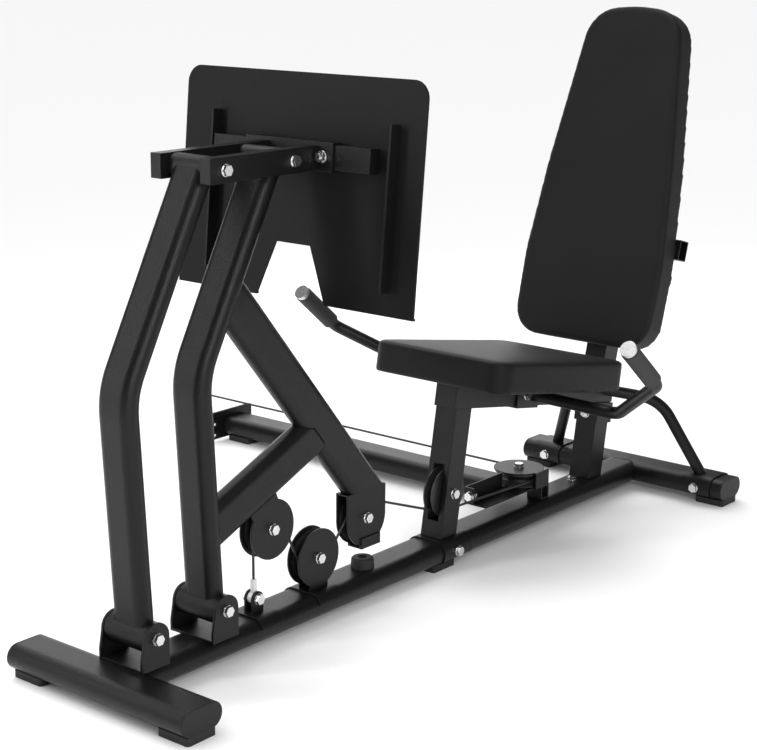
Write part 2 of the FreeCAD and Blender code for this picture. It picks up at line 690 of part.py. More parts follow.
def arm_body(name, hollow):
    p = Piece(name)
    loops = [oval_up(0, 0, S("arm_thick"), S("arm_wide"))]
    if hollow:
        loops.append(oval_up(0, 0, S("arm_thick") - S("arm_wall") * 2, S("arm_wide") - S("arm_wall") * 2))
    profile = p.sketch("XY", 0, loops)
    path, ex, ez = arm_path(p)
    p.pipe(profile, path)
    if hollow:
        half_low, half_top = cin - S("side_gap"), bin_ - S("side_gap")
        for x, z, half, dia in ((q(0), q(0), half_low, S("barrel_low")),
                                (ex, ez, half_top, S("barrel_dia"))):
            p.pad("XZ", [("circle", x, z, dia / 2)], -half, half)
        for x, z, half in ((q(0), q(0), half_low), (ex, ez, half_top)):
            p.cut("XZ", [("circle", x, z, S("barrel_bore") / 2)], -half - 5, half + 5)
    return p


def bushings(tag, x0):
    out = []
    for lvl, x, z, half in (("low", q(x0), S("pivot_z"), cin - S("side_gap")),
                            ("top", q(x0) + top_dx, top_z, bin_ - S("side_gap"))):
        for side in (-1, 1):
            p = Piece("bush_%s_%s_%d" % (tag, lvl, side + 1))
            lo, hi = (half - S("bush_long"), half) if side > 0 else (-half, S("bush_long") - half)
            p.pad("XZ", [("circle", x, z, S("barrel_bore") / 2), ("circle", x, z, S("bore_dia") / 2)], lo,
                  hi)
            out.append(p.at().body)
    group(tag + "_bushings", out)


arm_body("front_arm_tube", True).at(0, 0, S("pivot_z"), (0, 1, 0), S("arm_tilt")).node("front_arm_tube")
arm_body("rear_arm_tube", True).at(S("pivot_gap"), 0, S("pivot_z"), (0, 1, 0),
                                   S("arm_tilt")).node("rear_arm_tube")
rear_outer = arm_body("rear_arm_outer", False).at(S("pivot_gap"), 0, S("pivot_z"), (0, 1, 0),
                                                  S("arm_tilt")).body
bushings("front_arm", 0)
bushings("rear_arm", S("pivot_gap"))

# foot plate carrier: two bars, a sleeve, the crossbar and the plate
lean = S("foot_lean")
bar_end = S("pivot_gap") + top_dx + S("bar_tail")      # at bar mid height
half_bar = S("bar_high") / 2
# the plate's back face at bar mid height
face_x = bar_end + S("sleeve_thick") / qcos(lean) + S("bar_thick") / qcos(lean)
bars = []
for tag, lo in (("near", -S("bar_out")), ("far", bin_)):
    p = Piece("bar_" + tag)
    f0 = top_dx - S("bar_lead")
    sk = [(f0, top_z - half_bar), (bar_end - half_bar * qtan(lean), top_z - half_bar),
          (bar_end + half_bar * qtan(lean), top_z + half_bar), (f0, top_z + half_bar)]
    p.pad("XZ", [("poly", sk)], lo, lo + S("bar_thick"))
    w = S("bar_wall")
    p.cut("XZ", [frame(f0 + w, top_z - half_bar + w, bar_end + 20, top_z + half_bar - w)], lo + w,
          lo + S("bar_thick") - w)
    for x in (top_dx, S("pivot_gap") + top_dx):
        p.cut("XZ", [("circle", x, top_z, S("hole_dia") / 2)], lo - 1, lo + S("bar_thick") + 1)
    p.round(1.5, lambda e: straight(e,
                                    (0, 1, 0)) and e.Length > 20 and e.Vertexes[0].Point.x < float(top_dx))
    bars.append(p.at().body)
group("carrier_bars", bars)

place_args = dict(axis=(0, 1, 0), angle=lean)
sl = S("sleeve_thick")
bt = S("bar_thick")
clear_hole = lambda y: ("circle", y, 0, S("hole_dia") / 2)
p = Piece("carrier_sleeve")
p.pad("XZ", [("poly", [(-bt - sl, -half_bar - sl), (-5, -half_bar - sl), (-5, -half_bar), (-bt, -half_bar),
                       (-bt, half_bar), (-5, half_bar), (-5, half_bar + sl), (-bt - sl, half_bar + sl)])],
                       -S("sleeve_half"), S("sleeve_half"))
p.cut("YZ", [clear_hole(S("sleeve_bolt_y")), clear_hole(-S("sleeve_bolt_y"))], -bt - sl - 1, -bt + 1)
p.at(face_x, 0, top_z, **place_args).node("carrier_sleeve")

p = Piece("foot_crossbar")
w = S("bar_wall")
p.pad("XZ", [frame(-bt, -half_bar, 0, half_bar)], -S("cross_half"), S("cross_half"))
p.cut("XZ", [frame(-bt + w, -half_bar + w, -w, half_bar - w)], w - S("cross_half"), S("cross_half") - w)
p.cut("YZ", [clear_hole(S("sleeve_bolt_y")), clear_hole(-S("sleeve_bolt_y"))], -bt - 1, 1)
p.at(face_x, 0, top_z, **place_args).node("foot_crossbar")

p = Piece("footplate")
fw, up, dn = S("foot_wide") / 2, S("foot_up"), S("foot_down")
nt, nl = S("notch_top") / 2, S("notch_low") / 2
p.pad("YZ", [("poly", [(-fw, -dn), (-nl, -dn), (-nt, -dn + S("notch_high")), (nt, -dn + S("notch_high")),
                       (nl, -dn), (fw, -dn), (fw, up), (-fw, up)]),
             clear_hole(S("sleeve_bolt_y")), clear_hole(-S("sleeve_bolt_y"))], 0, S("foot_thick"))
p.round(S("foot_round"), lambda e: straight(e, (1, 0, 0)) and e.Vertexes[0].Point.z > 0)
for lo, hi in ((-fw, -nl), (nl, fw)):
    p.pad("YZ", [frame(lo, -dn, hi, -dn + S("foot_thick"))], S("foot_thick"),
          S("foot_thick") + S("foot_lip"))
p.at(face_x, 0, top_z, **place_args).node("footplate")

ribs = []
for tag in ("near", "far"):
    p = Piece("rib_" + tag)
    y0 = S("rib_" + tag) - S("rib_thick") / 2
    p.pad("XY", [frame(-S("rib_deep"), y0, 0, y0 + S("rib_thick"))], -S("rib_down"), S("rib_up"))
    ribs.append(p.at(face_x, 0, top_z, **place_args).body)
group("foot_ribs", ribs)

# lever: an angled beam from the rear arm to the fork, and a brace under it -----
lw, lh, lt = S("lever_thick"), S("lever_high"), S("lever_wall")


def lever_tube(name, x, z, angle, back, ahead, hollow=True):
    """Flat-oval tube whose axis passes through (x, z) at an angle about Y."""
    p = Piece(name)
    loops = [oval(0, 0, lh, lw)]
    if hollow:
        loops.append(oval(0, 0, lh, lw, lt))
    p.pad("XY", loops, -q(back), ahead)
    return p.at(x, 0, z, (0, 1, 0), angle)


def cut_by(label, base, tools):
    """Cope a tube onto its neighbours."""
    for i, tool in enumerate(tools):
        c = doc.addObject("Part::Cut", "%s_cope%d" % (label, i))
        c.Base, c.Tool = base, tool
        base = c
    return base


beam_turn = S("beam_slope") + 90
beam_drop = (S("beam_z") - S("fork_top")) / qsin(S("beam_slope"))
beam_run = beam_drop + lh
beam_raw = lever_tube("lever_beam_raw", S("beam_x"), S("beam_z"), beam_turn, 60, beam_run).body
beam_solid = lever_tube("lever_beam_solid", S("beam_x"), S("beam_z"), beam_turn, 60, beam_run, False).body
below = Piece("below_fork").pad("XY", [frame(-200, -60, 200, 60)], -300, 0).at(S("pul_fork_x") + 40, 0,
        S("fork_top")).body
bend_x = S("pivot_gap") + S("arm_low") * qsin(S("arm_tilt"))
bend_z = S("pivot_z") + S("arm_low") * qcos(S("arm_tilt"))
ahead = Piece("ahead_of_arm").pad("XY", [frame(-300, -60, 0, 60)], -300, 600)
ahead = ahead.at(bend_x, 0, bend_z, (0, 1, 0), S("arm_tilt") + S("arm_bend")).body
keep(cut_by("lever_beam", beam_raw, [rear_outer, below, ahead]), "lever_beam")
brace_turn = 90 - S("brace_slope")
brace_raw = lever_tube("lever_brace_raw", S("brace_x"), S("brace_z"), brace_turn, 70, 290).body
behind = Piece("behind_beam").pad("XY", [frame(-300, -60, 0, 60)], -300, 500).at(S("beam_x"), 0,
        S("beam_z"), (0, 1, 0), beam_turn).body
keep(cut_by("lever_brace", brace_raw, [rear_outer, beam_solid, behind, ahead]), "lever_brace")

# pulley cheeks ---------------------------------------------------------------
ci = S("sheave_wide") / 2 + S("sheave_side")
cr = S("cheek_dia") / 2


def cheeks(p, add):
    for lo, hi in ((-ci - t3, -ci), (ci, ci + t3)):
        add(p, lo, hi)


# fork at the lever end: two cheeks, the top web and the shoe that meets the stop
p = Piece("fork_cheeks", many=True)
fx, fz = S("pul_fork_x"), S("pul_fork_z")
p.pad("XY", [frame(fx - cr, -ci - t3, fx + cr, ci + t3)], S("fork_top") - t3, S("fork_top"))
cheeks(p, lambda p, lo, hi: p.pad("XZ",
                                  [("poly",
                                    [(fx - cr, fz), (fx + cr, fz), (fx + cr, S("fork_top")),
                                     (fx - cr, S("fork_top"))])], lo, hi))
cheeks(p, lambda p, lo, hi: p.pad("XZ", [("circle", fx, fz, cr)], lo, hi))
sx0 = fx - 18
cheeks(p, lambda p, lo, hi: p.pad("XZ",
                                  [frame(sx0, S("shoe_low"), sx0 + S("shoe_long"),
                                         S("shoe_low") + S("shoe_high"))], lo, hi))
p.cut("XZ", [("circle", fx, fz, S("hole_dia") / 2)], -60, 60)
fork = p.at().body
shoe = Piece("fork_shoe", many=True)
so, st = ci + t3, t3
shoe.pad("YZ", [("poly", [(-so - st, S("shoe_low") - st), (so + st, S("shoe_low") - st),
                          (so + st, S("shoe_low") + S("shoe_high")), (so, S("shoe_low") + S("shoe_high")),
                          (so, S("shoe_low")), (-so, S("shoe_low")), (-so, S("shoe_low") + S("shoe_high")),
                          (-so - st, S("shoe_low") + S("shoe_high"))])], sx0, sx0 + S("shoe_long"))
group("lever_fork", [fork, shoe.at().body])

# cheeks under the brace, coped to it
bx, bz = S("pul_brace_x"), S("pul_brace_z")
brace_solid = lever_tube("lever_brace_solid", S("brace_x"), S("brace_z"), brace_turn, 70, 290, False).body
raw = Piece("brace_cheeks_raw", many=True)
cheeks(raw, lambda p, lo, hi: p.pad("XZ", [("circle", bx, bz, cr)], lo, hi))
ux, uz = qsin(S("brace_slope")), qcos(S("brace_slope"))
hw = cr * 0.62
cheeks(raw, lambda p, lo, hi: p.pad("XZ",
                                    [("poly",
                                      [(bx - hw * uz, bz - hw * ux), (bx + hw * uz, bz + hw * ux),
                                       (bx + hw * uz - ux * 60, bz + hw * ux + uz * 60),
                                       (bx - hw * uz - ux * 60, bz - hw * ux + uz * 60)])], lo, hi))
raw.cut("XZ", [("circle", bx, bz, S("hole_dia") / 2)], -60, 60)
above = Piece("above_brace").pad("XY", [frame(-200, -60, 0, 60)], -300, 500).at(S("brace_x"), 0,
        S("brace_z"), (0, 1, 0), brace_turn).body
keep(cut_by("brace_cheeks", raw.at().body, [brace_solid, above]), "brace_cheeks")

# cheeks on the rail, with their saddle
rx, rz = S("pul_rail_x"), S("pul_rail_z")
p = Piece("rail_cheeks", many=True)
p.pad("YZ", [saddle_loop(), oval(0, rail_mid, S("rail_wide"), S("rail_high"))], rx - 32, rx + 33)
p.cut("YZ", [frame(-S("rail_wide"), rail_low - 10, S("rail_wide"), rail_mid + 7)], rx - 40, rx + 40)
cheeks(p, lambda p, lo, hi: p.pad("XZ", [("circle", rx, rz, cr)], lo, hi))
cheeks(p, lambda p, lo, hi: p.pad("XZ", [frame(rx - 24, plate_top_z, rx + 24, rz)], lo, hi))
p.cut("XZ", [("circle", rx, rz, S("hole_dia") / 2)], -60, 60)
p.cut("YZ", [frame(-ci - t3 - 1, rail_top - 10, ci + t3 + 1, rail_top)], rx - cr, rx + cr)
p.at().node("rail_cheeks")


def sheave(name, x, y, z, dia, rad, axis, angle, wide=None):
    """Pulley with a U groove for the cable; it runs on its bolt."""
    r0, r1 = S("bore_dia") / 2, q(dia) / 2
    h = (wide or S("sheave_wide")) / 2
    root = q(rad) - S("cable_dia") / 2 - S("cable_clear")
    g = S("cable_dia") / 2 + S("cable_clear") + 0.6
    e = h - 3
    p = Piece(name)
    p.turn([("poly", [(r0, -h), (r1, -h), (r1, -e), (root + 1.5, -g), (root, -g + 1.5), (root, g - 1.5),
                      (root + 1.5, g), (r1, e), (r1, h), (r0, h)])])
    p.at(x, y, z, axis, angle).node(name)


sheave("sheave_brace", bx, 0, bz, S("sheave_dia"), S("groove_rad"), (1, 0, 0), 90)
sheave("sheave_rail", rx, 0, rz, S("sheave_dia"), S("groove_rad"), (1, 0, 0), 90)
sheave("sheave_fork", fx, 0, fz, S("fork_sheave"), S("groove_rad_fork"), (1, 0, 0), 90)
px, pzz = S("pul_post_x"), S("pul_post_z")
sheave("sheave_post", px, 0, pzz, S("post_sheave"), S("groove_rad_post"), (1, 0, 0), 90)
flat_z = pzz - S("groove_rad_post")
qx, qy = S("pul_flat_x"), S("pul_flat_y")
sheave("sheave_flat", qx, qy, flat_z, S("flat_sheave"), S("groove_rad_flat"), (0, 0, 1), 0, S("flat_wide"))

# rubber stop under the fork
p = Piece("bump_stop")
rb, rt, sh = S("stop_low_dia") / 2, S("stop_top_dia") / 2, S("stop_high")
p.turn([("poly", [(0, 0), (rb, 0), (rt + 1, sh - 3), (rt - 2, sh), (9, sh), (9, sh - 7), (0, sh - 7)])])
p.at(S("stop_x"), 0, rail_top).node("bump_stop")

# cable anchor: two lugs on a small saddle, the bolt and the swaged ferrule
ax_, az_ = bx - S("groove_rad"), S("anchor_z")
p = Piece("cable_anchor", many=True)
aw, ag = S("anchor_wide") / 2, S("anchor_gap") / 2
p.pad("YZ", [saddle_loop(), oval(0, rail_mid, S("rail_wide"), S("rail_high"))], ax_ - 27, ax_ + 30)
p.cut("YZ", [frame(-S("rail_wide"), rail_low - 10, S("rail_wide"), rail_mid + 7)], ax_ - 40, ax_ + 40)
for lo, hi in ((-ag - 4, -ag), (ag, ag + 4)):
    p.pad("XZ", [frame(ax_ - aw, rail_top, ax_ + aw, az_)], lo, hi)
    p.pad("XZ", [("circle", ax_, az_, aw)], lo, hi)
p.cut("XZ", [("circle", ax_, az_, S("hole_dia") / 2)], -40, 40)
p.at().node("cable_anchor")

# seat ---------------------------------------------------------------------
sc, ss = qcos(S("seat_lean")), qsin(S("seat_lean"))
Ox, Oz = S("beam_front_x"), S("beam_front_z")
tw = S("tube_wide")


def seat(x, z):
    """Seat axes to working axes: x down the beam, z square to it."""
    return (Ox + q(x) * sc + q(z) * ss, Oz - q(x) * ss + q(z) * sc)


def drop(x, level):
    """Height in the seat axes where the line at x meets a level of the floor axes."""
    return (q(level) - Oz + q(x) * ss) / sc


def post(name, at, level):
    x1, x2 = q(at) - tw / 2, q(at) + tw / 2
    p = Piece(name)
    p.pad("XZ", [("poly", [(x1, drop(x1, level)), (x2, drop(x2, level)), (x2, 0), (x1, 0)])], -tw / 2,
          tw / 2)
    t = S("tube_wall")
    i1, i2 = x1 + t, x2 - t
    p.cut("XZ", [("poly", [(i1, drop(i1, level) - 20), (i2, drop(i2, level) - 20), (i2, 20), (i1, 20)])],
          -tw / 2 + t, tw / 2 - t)
    return p


p = post("front_seat_post", S("front_post_at"), plate_top_z)
fp = S("front_post_at")
p.cut("YZ", [frame(-S("slot_wide") / 2, drop(fp, S("slot_low")), S("slot_wide") / 2,
                   drop(fp, S("slot_top")))], fp - 60, fp + 60)
p.cut("XZ", [("circle", (px - Ox) * sc - (pzz - Oz) * ss, (px - Ox) * ss + (pzz - Oz) * sc,
              S("hole_dia") / 2)], -60, 60)
p.at(Ox, 0, Oz, (0, 1, 0), S("seat_lean")).node("front_seat_post")
p = post("rear_seat_post", S("rear_post_at"), rail_top)
p.cut("YZ", [("circle", 0, -28, S("hole_dia") / 2)], S("rear_post_at") - 60, S("rear_post_at"))
p.at(Ox, 0, Oz, (0, 1, 0), S("seat_lean")).node("rear_seat_post")

sa = dict(axis=(0, 1, 0), angle=S("seat_lean"))
bh, bl = S("seat_beam_high"), S("seat_beam_long")
tt = S("tube_wall")
hr, hb = S("handle_root"), S("handle_bolt")
p = Piece("seat_beam")
p.pad("YZ", [frame(-tw / 2, 0, tw / 2, bh), frame(-tw / 2 + tt, tt, tw / 2 - tt, bh - tt)], 0, bl)
p.cut("XZ", [("circle", hb, bh / 2, S("hole_dia") / 2)], -60, 60)
p.at(Ox, 0, Oz, **sa).node("seat_beam")

# bracket that straps the handles to the beam, open at the top
bt4 = S("bracket_thick")
b0, b1 = S("bracket_from"), S("bracket_from") + S("bracket_long")
p = Piece("handle_bracket")
yo, yi = tw / 2 + bt4, tw / 2
p.pad("YZ", [("poly", [(-yo, -bt4), (yo, -bt4), (yo, bh - 3), (yi, bh - 3), (yi, 0), (-yi, 0),
                       (-yi, bh - 3), (-yo, bh - 3)])], b0, b1)
p.cut("XZ", [("circle", hb, bh / 2, S("hole_dia") / 2)], -60, 60)
p.at(Ox, 0, Oz, **sa).node("handle_bracket")

# rear post collar, bolted through the front of the post
p = Piece("rear_post_collar")
c0, c1 = S("rear_post_at") - tw / 2, S("rear_post_at") + tw / 2
p.pad("XY", [("poly", [(c0 - bt4, -yo), (c1 + 6, -yo), (c1 + 6, -yi), (c0, -yi), (c0, yi), (c1 + 6, yi),
                       (c1 + 6, yo), (c0 - bt4, yo)])], -46, -1)
p.cut("YZ", [("circle", 0, -28, S("hole_dia") / 2)], c0 - 30, c0 + 10)
p.at(Ox, 0, Oz, **sa).node("rear_post_collar")

# seat board and pad
def rounded(p, plane_axis, r):
    p.round(r, lambda e: straight(e, plane_axis))


s0, sl_, sw = S("seat_front"), S("seat_long"), S("seat_wide") / 2
bi = S("board_inset")
p = Piece("seat_board")
p.pad("XY", [frame(s0 + bi, -sw + bi, s0 + sl_ - bi, sw - bi)], bh, bh + S("board_thick"))
rounded(p, (0, 0, 1), S("seat_round") - bi)
p.at(Ox, 0, Oz, **sa).node("seat_board")
p = Piece("seat_cushion")
z0 = bh + 3
p.pad("XY", [frame(s0, -sw, s0 + sl_, sw)], z0, z0 + S("seat_thick"))
rounded(p, (0, 0, 1), S("seat_round"))
p.round(10, lambda e: min(v.Point.z for v in e.Vertexes) > float(z0 + S("seat_thick")) - 0.01)
cc = S("cap_clear")
lid = Piece("seat_recess")
lid.pad("XY", [frame(s0 + bi - cc, -sw + bi - cc, s0 + sl_ - bi + cc, sw - bi + cc)], bh - 5,
        bh + S("board_thick"))
rounded(lid, (0, 0, 1), S("seat_round") - bi + cc)
lid.at(Ox, 0, Oz, **sa)
p.at(Ox, 0, Oz, **sa)
recessed = doc.addObject("Part::Cut", "seat_pad_cut")
recessed.Base, recessed.Tool = p.body, lid.body
keep(recessed, "seat_pad")

# backrest -------------------------------------------------------------------
ba = dict(axis=(0, 1, 0), angle=S("back_lean"))
k1, k2, k3, bL = S("back_low_half"), S("back_mid_half"), S("back_top_half"), S("back_long")


def rounded_wire(corners, u):
    """Closed wire of lines and tangent arcs across the pad, from (y, v, radius) corners."""
    n = len(corners)
    arcs = []
    for i in range(n):
        a, b, c = [Vector(u, p[0], p[1]) for p in (corners[i - 1], corners[i], corners[(i + 1) % n])]
        d1, d2 = (b - a).normalize(), (c - b).normalize()
        turn = d1.getAngle(d2)
        r = corners[i][2]
        run = r * math.tan(turn / 2)
        half = (d2 - d1).normalize()
        centre = b + half * (r / math.cos(turn / 2))
        arcs.append((b - d1 * run, centre - half * r, b + d2 * run))
    edges = []
    for i in range(n):
        t1, m, t2 = arcs[i]
        edges.append(Part.Arc(t1, m, t2).toShape())
        edges.append(Part.LineSegment(t2, arcs[(i + 1) % n][0]).toShape())
    return Part.Wire(edges)


def back_outline(inset):
    """Coffin-shaped pad: widest low down, narrower at the head."""
    low, mid, top, long = [float(v) for v in (k1, k2, k3, bL)]
    i, w = inset, float(S("back_corner_low"))
    half = [(low - i, i, w - i * 0.6), (mid - i, long * 0.235, 500), (mid - 18 - i, long * 0.52, 900),
            (top - 6 - i, long - 12 - i, float(S("back_corner_top")) - i * 0.6)]
    return half + [(0, long - i, 340)] + [(-y, v, r) for y, v, r in reversed(half)]


def slab(label, inset, lo, hi, soft=0):
    solid = Part.Face(rounded_wire(back_outline(inset), lo)).extrude(Vector(hi - lo, 0, 0))
    if soft:
        solid = solid.makeFillet(soft,
                                 [e for e in solid.Edges if all(abs(v.Point.x - lo) < 1e-6 for v in e.Vertexes)])
    return solid


def leaned(label, solid):
    f = doc.addObject("Part::Feature", label)
    f.Shape = solid
    place(f, S("back_x"), 0, S("back_z"), **ba)
    return keep(f, label)


u0 = S("back_thick") - S("back_board")
whole, board = slab("pad", 0, 0, float(S("back_thick")), float(S("back_soft"))), slab("board", 16,
        float(u0), float(S("back_thick")))
recess = slab("recess", 16 - float(cc), float(u0), float(S("back_thick")) + 5)
leaned("back_pad", whole.cut(recess))
leaned("back_board", board)
u1 = u0 + S("back_board")
u2 = u1 + S("back_rail_deep")
rails = []
for tag, v in (("low", S("back_rail_one")), ("high", S("back_rail_two"))):
    p = Piece("back_rail_" + tag)
    h2 = S("back_rail_high") / 2
    reach = S("back_rail_half") if tag == "low" else S("back_rail_short")
    p.pad("XZ", [frame(u1, v - h2, u2, v + h2), frame(u1 + 2, v - h2 + 2, u2 - 2, v + h2 - 2)], -reach,
          reach)
    rails.append(p.at(S("back_x"), 0, S("back_z"), **ba).body)
group("back_rails", rails)

bc, bs = qcos(S("back_lean")), qsin(S("back_lean"))


def back(u, v):
    return (S("back_x") + q(u) * bc + q(v) * bs, S("back_z") - q(u) * bs + q(v) * bc)


def back_on_beam(u, lift=0):
    """Where the post line at u meets the seat beam's top face."""
    x0, z0_ = back(u, 0)
    tx, tz = seat(0, bh + q(lift))
    v = (ss * (tx - x0) + sc * (tz - z0_)) / (ss * bs + sc * bc)
    return back(u, v)


p = Piece("back_post")
u3 = u2 + tw
p.pad("XZ", [("poly", [back_on_beam(u2), back_on_beam(u3), back(u3, S("back_post_top")),
                       back(u2, S("back_post_top"))])], -tw / 2, tw / 2)
p.cut("XZ", [("poly", [back_on_beam(u2 + tt, -40), back_on_beam(u3 - tt, -40),
                       back(u3 - tt, S("back_post_top") + 20), back(u2 + tt, S("back_post_top") + 20)])],
                       -tw / 2 + tt, tw / 2 - tt)
p.at().node("back_post")

# square caps for the beam's front end and the backrest post
pc = S("cap_clear")
p = Piece("cap_beam")
p.pad("YZ", [frame(-tw / 2, 0, tw / 2, bh)], -S("cap_thick"), 0)
p.pad("YZ", [frame(-tw / 2 + tt + pc, tt + pc, tw / 2 - tt - pc, bh - tt - pc)], 0, S("cap_plug"))
caps.append(p.at(Ox, 0, Oz, **sa).body)
p = Piece("cap_beam_back")
p.pad("YZ", [frame(-tw / 2, 0, tw / 2, bh)], bl, bl + S("cap_thick"))
p.pad("YZ", [frame(-tw / 2 + tt + pc, tt + pc, tw / 2 - tt - pc, bh - tt - pc)], bl - S("cap_plug"), bl)
caps.append(p.at(Ox, 0, Oz, **sa).body)
p = Piece("cap_post")
p.pad("XY", [frame(u2, -tw / 2, u3, tw / 2)], S("back_post_top"), S("back_post_top") + S("cap_thick"))
p.pad("XY", [frame(u2 + tt + pc, -tw / 2 + tt + pc, u3 - tt - pc, tw / 2 - tt - pc)],
      S("back_post_top") - S("cap_plug"), S("back_post_top"))
caps.append(p.at(S("back_x"), 0, S("back_z"), **ba).body)
group("end_caps", caps)

# bent round tubes ---------------------------------------------------------------


def bent(points, radii):
    """Wire of straight runs joined by tangent arcs."""
    pts = [Vector(*[float(c) for c in pt]) for pt in points]
    edges, start = [], pts[0]
    for i in range(1, len(pts) - 1):
        a, b, c = pts[i - 1], pts[i], pts[i + 1]
        d1, d2 = (b - a).normalize(), (c - b).normalize()
        turn = d1.getAngle(d2)
        run = radii[i - 1] * math.tan(turn / 2)
        t1, t2 = b - d1 * run, b + d2 * run
        mid_dir = (d2 - d1).normalize()
        centre = b + mid_dir * (radii[i - 1] / math.cos(turn / 2))
        mid = centre - mid_dir * radii[i - 1]
        if (t1 - start).Length > 1e-4:
            edges.append(Part.LineSegment(start, t1).toShape())
        edges.append(Part.Arc(t1, mid, t2).toShape())
        start = t2
    edges.append(Part.LineSegment(start, pts[-1]).toShape())
    return Part.Wire(edges)


def swept(wire, radius):
    e = wire.Edges[0]
    start = e.valueAt(e.FirstParameter)
    tangent = e.tangentAt(e.FirstParameter)
    ring = Part.Wire([Part.Circle(start, tangent, float(radius)).toShape()])
    return wire.makePipeShell([ring], True, True)


def shaped(label, shape):
    """A piece whose route bends in space: its shape is set here, then shifted."""
    f = doc.addObject("Part::Feature", label)
    f.Shape = shape
    f.Placement = Placement(SHIFT, Rotation())
    return f


r_tube, r_in = float(S("handle_tube")) / 2, float(S("handle_tube")) / 2 - float(S("handle_wall"))
rise = math.radians(float(S("grip_rise")))
handles, grips, grip_ends = [], [], []
for tag, s in (("near", -1), ("far", 1)):
    X, Z = seat(hr, bh / 2)
    root = (float(X), s * float(tw) / 4, float(Z))
    elbow = (float(S("elbow_x")), s * float(S("elbow_y")), float(S("elbow_z")))
    wrist = (float(S("wrist_x")), s * float(S("wrist_y")), float(S("wrist_z")))
    gl = float(S("grip_long"))
    gdir = Vector(-math.cos(rise), 0, math.sin(rise))
    tip = Vector(*wrist) + gdir * (gl + 22)
    wire = bent([root, elbow, wrist, tuple(tip)], [float(S("handle_rad")), float(S("handle_rad")) * 0.6])
    outer, inner = swept(wire, r_tube), swept(wire, r_in)
    strap = Part.makeBox(600, float(tw) + float(bt4) * 2, 600,
                         Vector(X.value - 300, -float(tw) / 2 - float(bt4), Z.value - 300))
    handles.append(shaped("handle_" + tag, outer.cut(inner).cut(strap)))
    g0 = Vector(*wrist) + gdir * 22
    foam = Part.makeCylinder(float(S("grip_dia")) / 2, gl, g0,
                             gdir).cut(Part.makeCylinder(r_tube, gl, g0, gdir))
    grips.append(shaped("grip_" + tag, foam))
    c0_ = g0 + gdir * gl
    ring = Part.makeCylinder(float(S("grip_dia")) / 2 - 1.5, float(S("grip_cap")), c0_, gdir)
    ring = ring.fuse(Part.makeCylinder(r_in - float(S("cap_clear")), 14, c0_ - gdir * 14,
                                       gdir)).removeSplitter()
    grip_ends.append(shaped("grip_end_" + tag, ring))
group("handle_tubes", handles)
group("hand_grips", grips)
group("grip_caps", grip_ends)

braces, brace_saddles = [], []
for tag, s in (("near", -1), ("far", 1)):
    foot = (float(S("rear_base_x")), s * float(S("brace_foot_y")), float(plate_top_z) - 20)
    knee = (float(S("brace_knee_x")), s * float(S("brace_knee_y")), float(S("brace_knee_z")))
    head = (float(S("brace_top_x")), s * float(tw) / 2, float(S("brace_top_z")))
    back_up = Vector(*knee) - Vector(*head)
    back_up.normalize()
    head_in = Vector(*head) - back_up * 20
    wire = bent([foot, knee, tuple(head_in)], [float(S("brace_rad"))])
    tube = swept(wire, r_tube).cut(swept(wire, r_in))
    beam_box = Part.makeBox(900, float(tw), 400, Vector(0, -float(tw) / 2, -200))
    beam_box.Placement = Placement(Vector(float(Ox), 0, float(Oz)),
                                   Rotation(Vector(0, 1, 0),
                                            float(S("seat_lean")))).multiply(beam_box.Placement)
    low = Part.makeBox(200, 200, 60, Vector(foot[0] - 100, foot[1] - 100, float(plate_top_z) - 60))
    braces.append(shaped("rear_brace_" + tag, tube.cut(beam_box).cut(low)))
    p = Piece("brace_saddle_" + tag)
    y_c = S("brace_foot_y") * s
    p.pad("XZ", [oval(S("rear_base_x"), rail_mid, S("rail_wide") + t3 * 2, S("rail_high") + t3 * 2),
                 oval(S("rear_base_x"), rail_mid, S("rail_wide"), S("rail_high"))],
                 y_c - S("brace_saddle") / 2, y_c + S("brace_saddle") / 2)
    p.cut("XZ", [frame(S("rear_base_x") - 90, rail_low - 10, S("rear_base_x") + 90, rail_low + 6)],
          y_c - 60, y_c + 60)
    p.cut("YZ", [("circle", y_c, rail_mid, S("hole_dia") / 2)], S("rear_base_x") - 80,
          S("rear_base_x") + 80)
    brace_saddles.append(p.at().body)
group("rear_braces", braces + brace_saddles)

# flat pulley block -------------------------------------------------------------
cf = S("flat_wide") / 2 + S("sheave_side")
fl0 = flat_z - cf - t3
fl1 = flat_z - cf
top0 = flat_z + cf
dr = S("block_disc") / 2
p = Piece("block_bracket", many=True)
p.pad("XY", [frame(S("block_front"), S("block_near"), qx, S("block_flange"))], fl0, fl1)
p.pad("XY", [("circle", qx, qy, dr)], fl0, fl1)
p.pad("XZ", [frame(S("block_front"), fl0, qx - dr - 4, top0 + t3)], S("block_flange") - t3,
      S("block_flange"))
p.pad("YZ", [frame(S("block_flange") - 24, fl0, S("block_flange"), top0 + t3)], S("block_front"),
      S("block_front") + t3)
p.pad("XY", [("circle", qx, qy, dr)], top0, top0 + t3)
p.pad("XZ", [frame(qx - 17, fl0, qx + 31, top0 + t3)], qy - dr - t3, qy - dr + 1)
p.cut("XY", [("circle", qx, qy, S("hole_dia") / 2)], fl0 - 5, top0 + 10)
p.cut("YZ", [("circle", S("block_flange") - 15, flat_z, S("hole_dia") / 2)], S("block_front") - 5,
      S("block_front") + 10)
p.at().node("block_bracket")
p = Piece("block_stand")
n0, n1 = S("stand_near"), S("stand_near") + S("stand_deep")
x0, x1 = S("stand_from"), S("stand_from") + S("stand_long")
p.pad("XZ", [frame(x0, rail_top, x1, fl0), frame(x0 + 3.5, rail_top + 3.5, x1 - 3.5, fl0 - 3.5)], n0, n1)
p.at().node("block_stand")

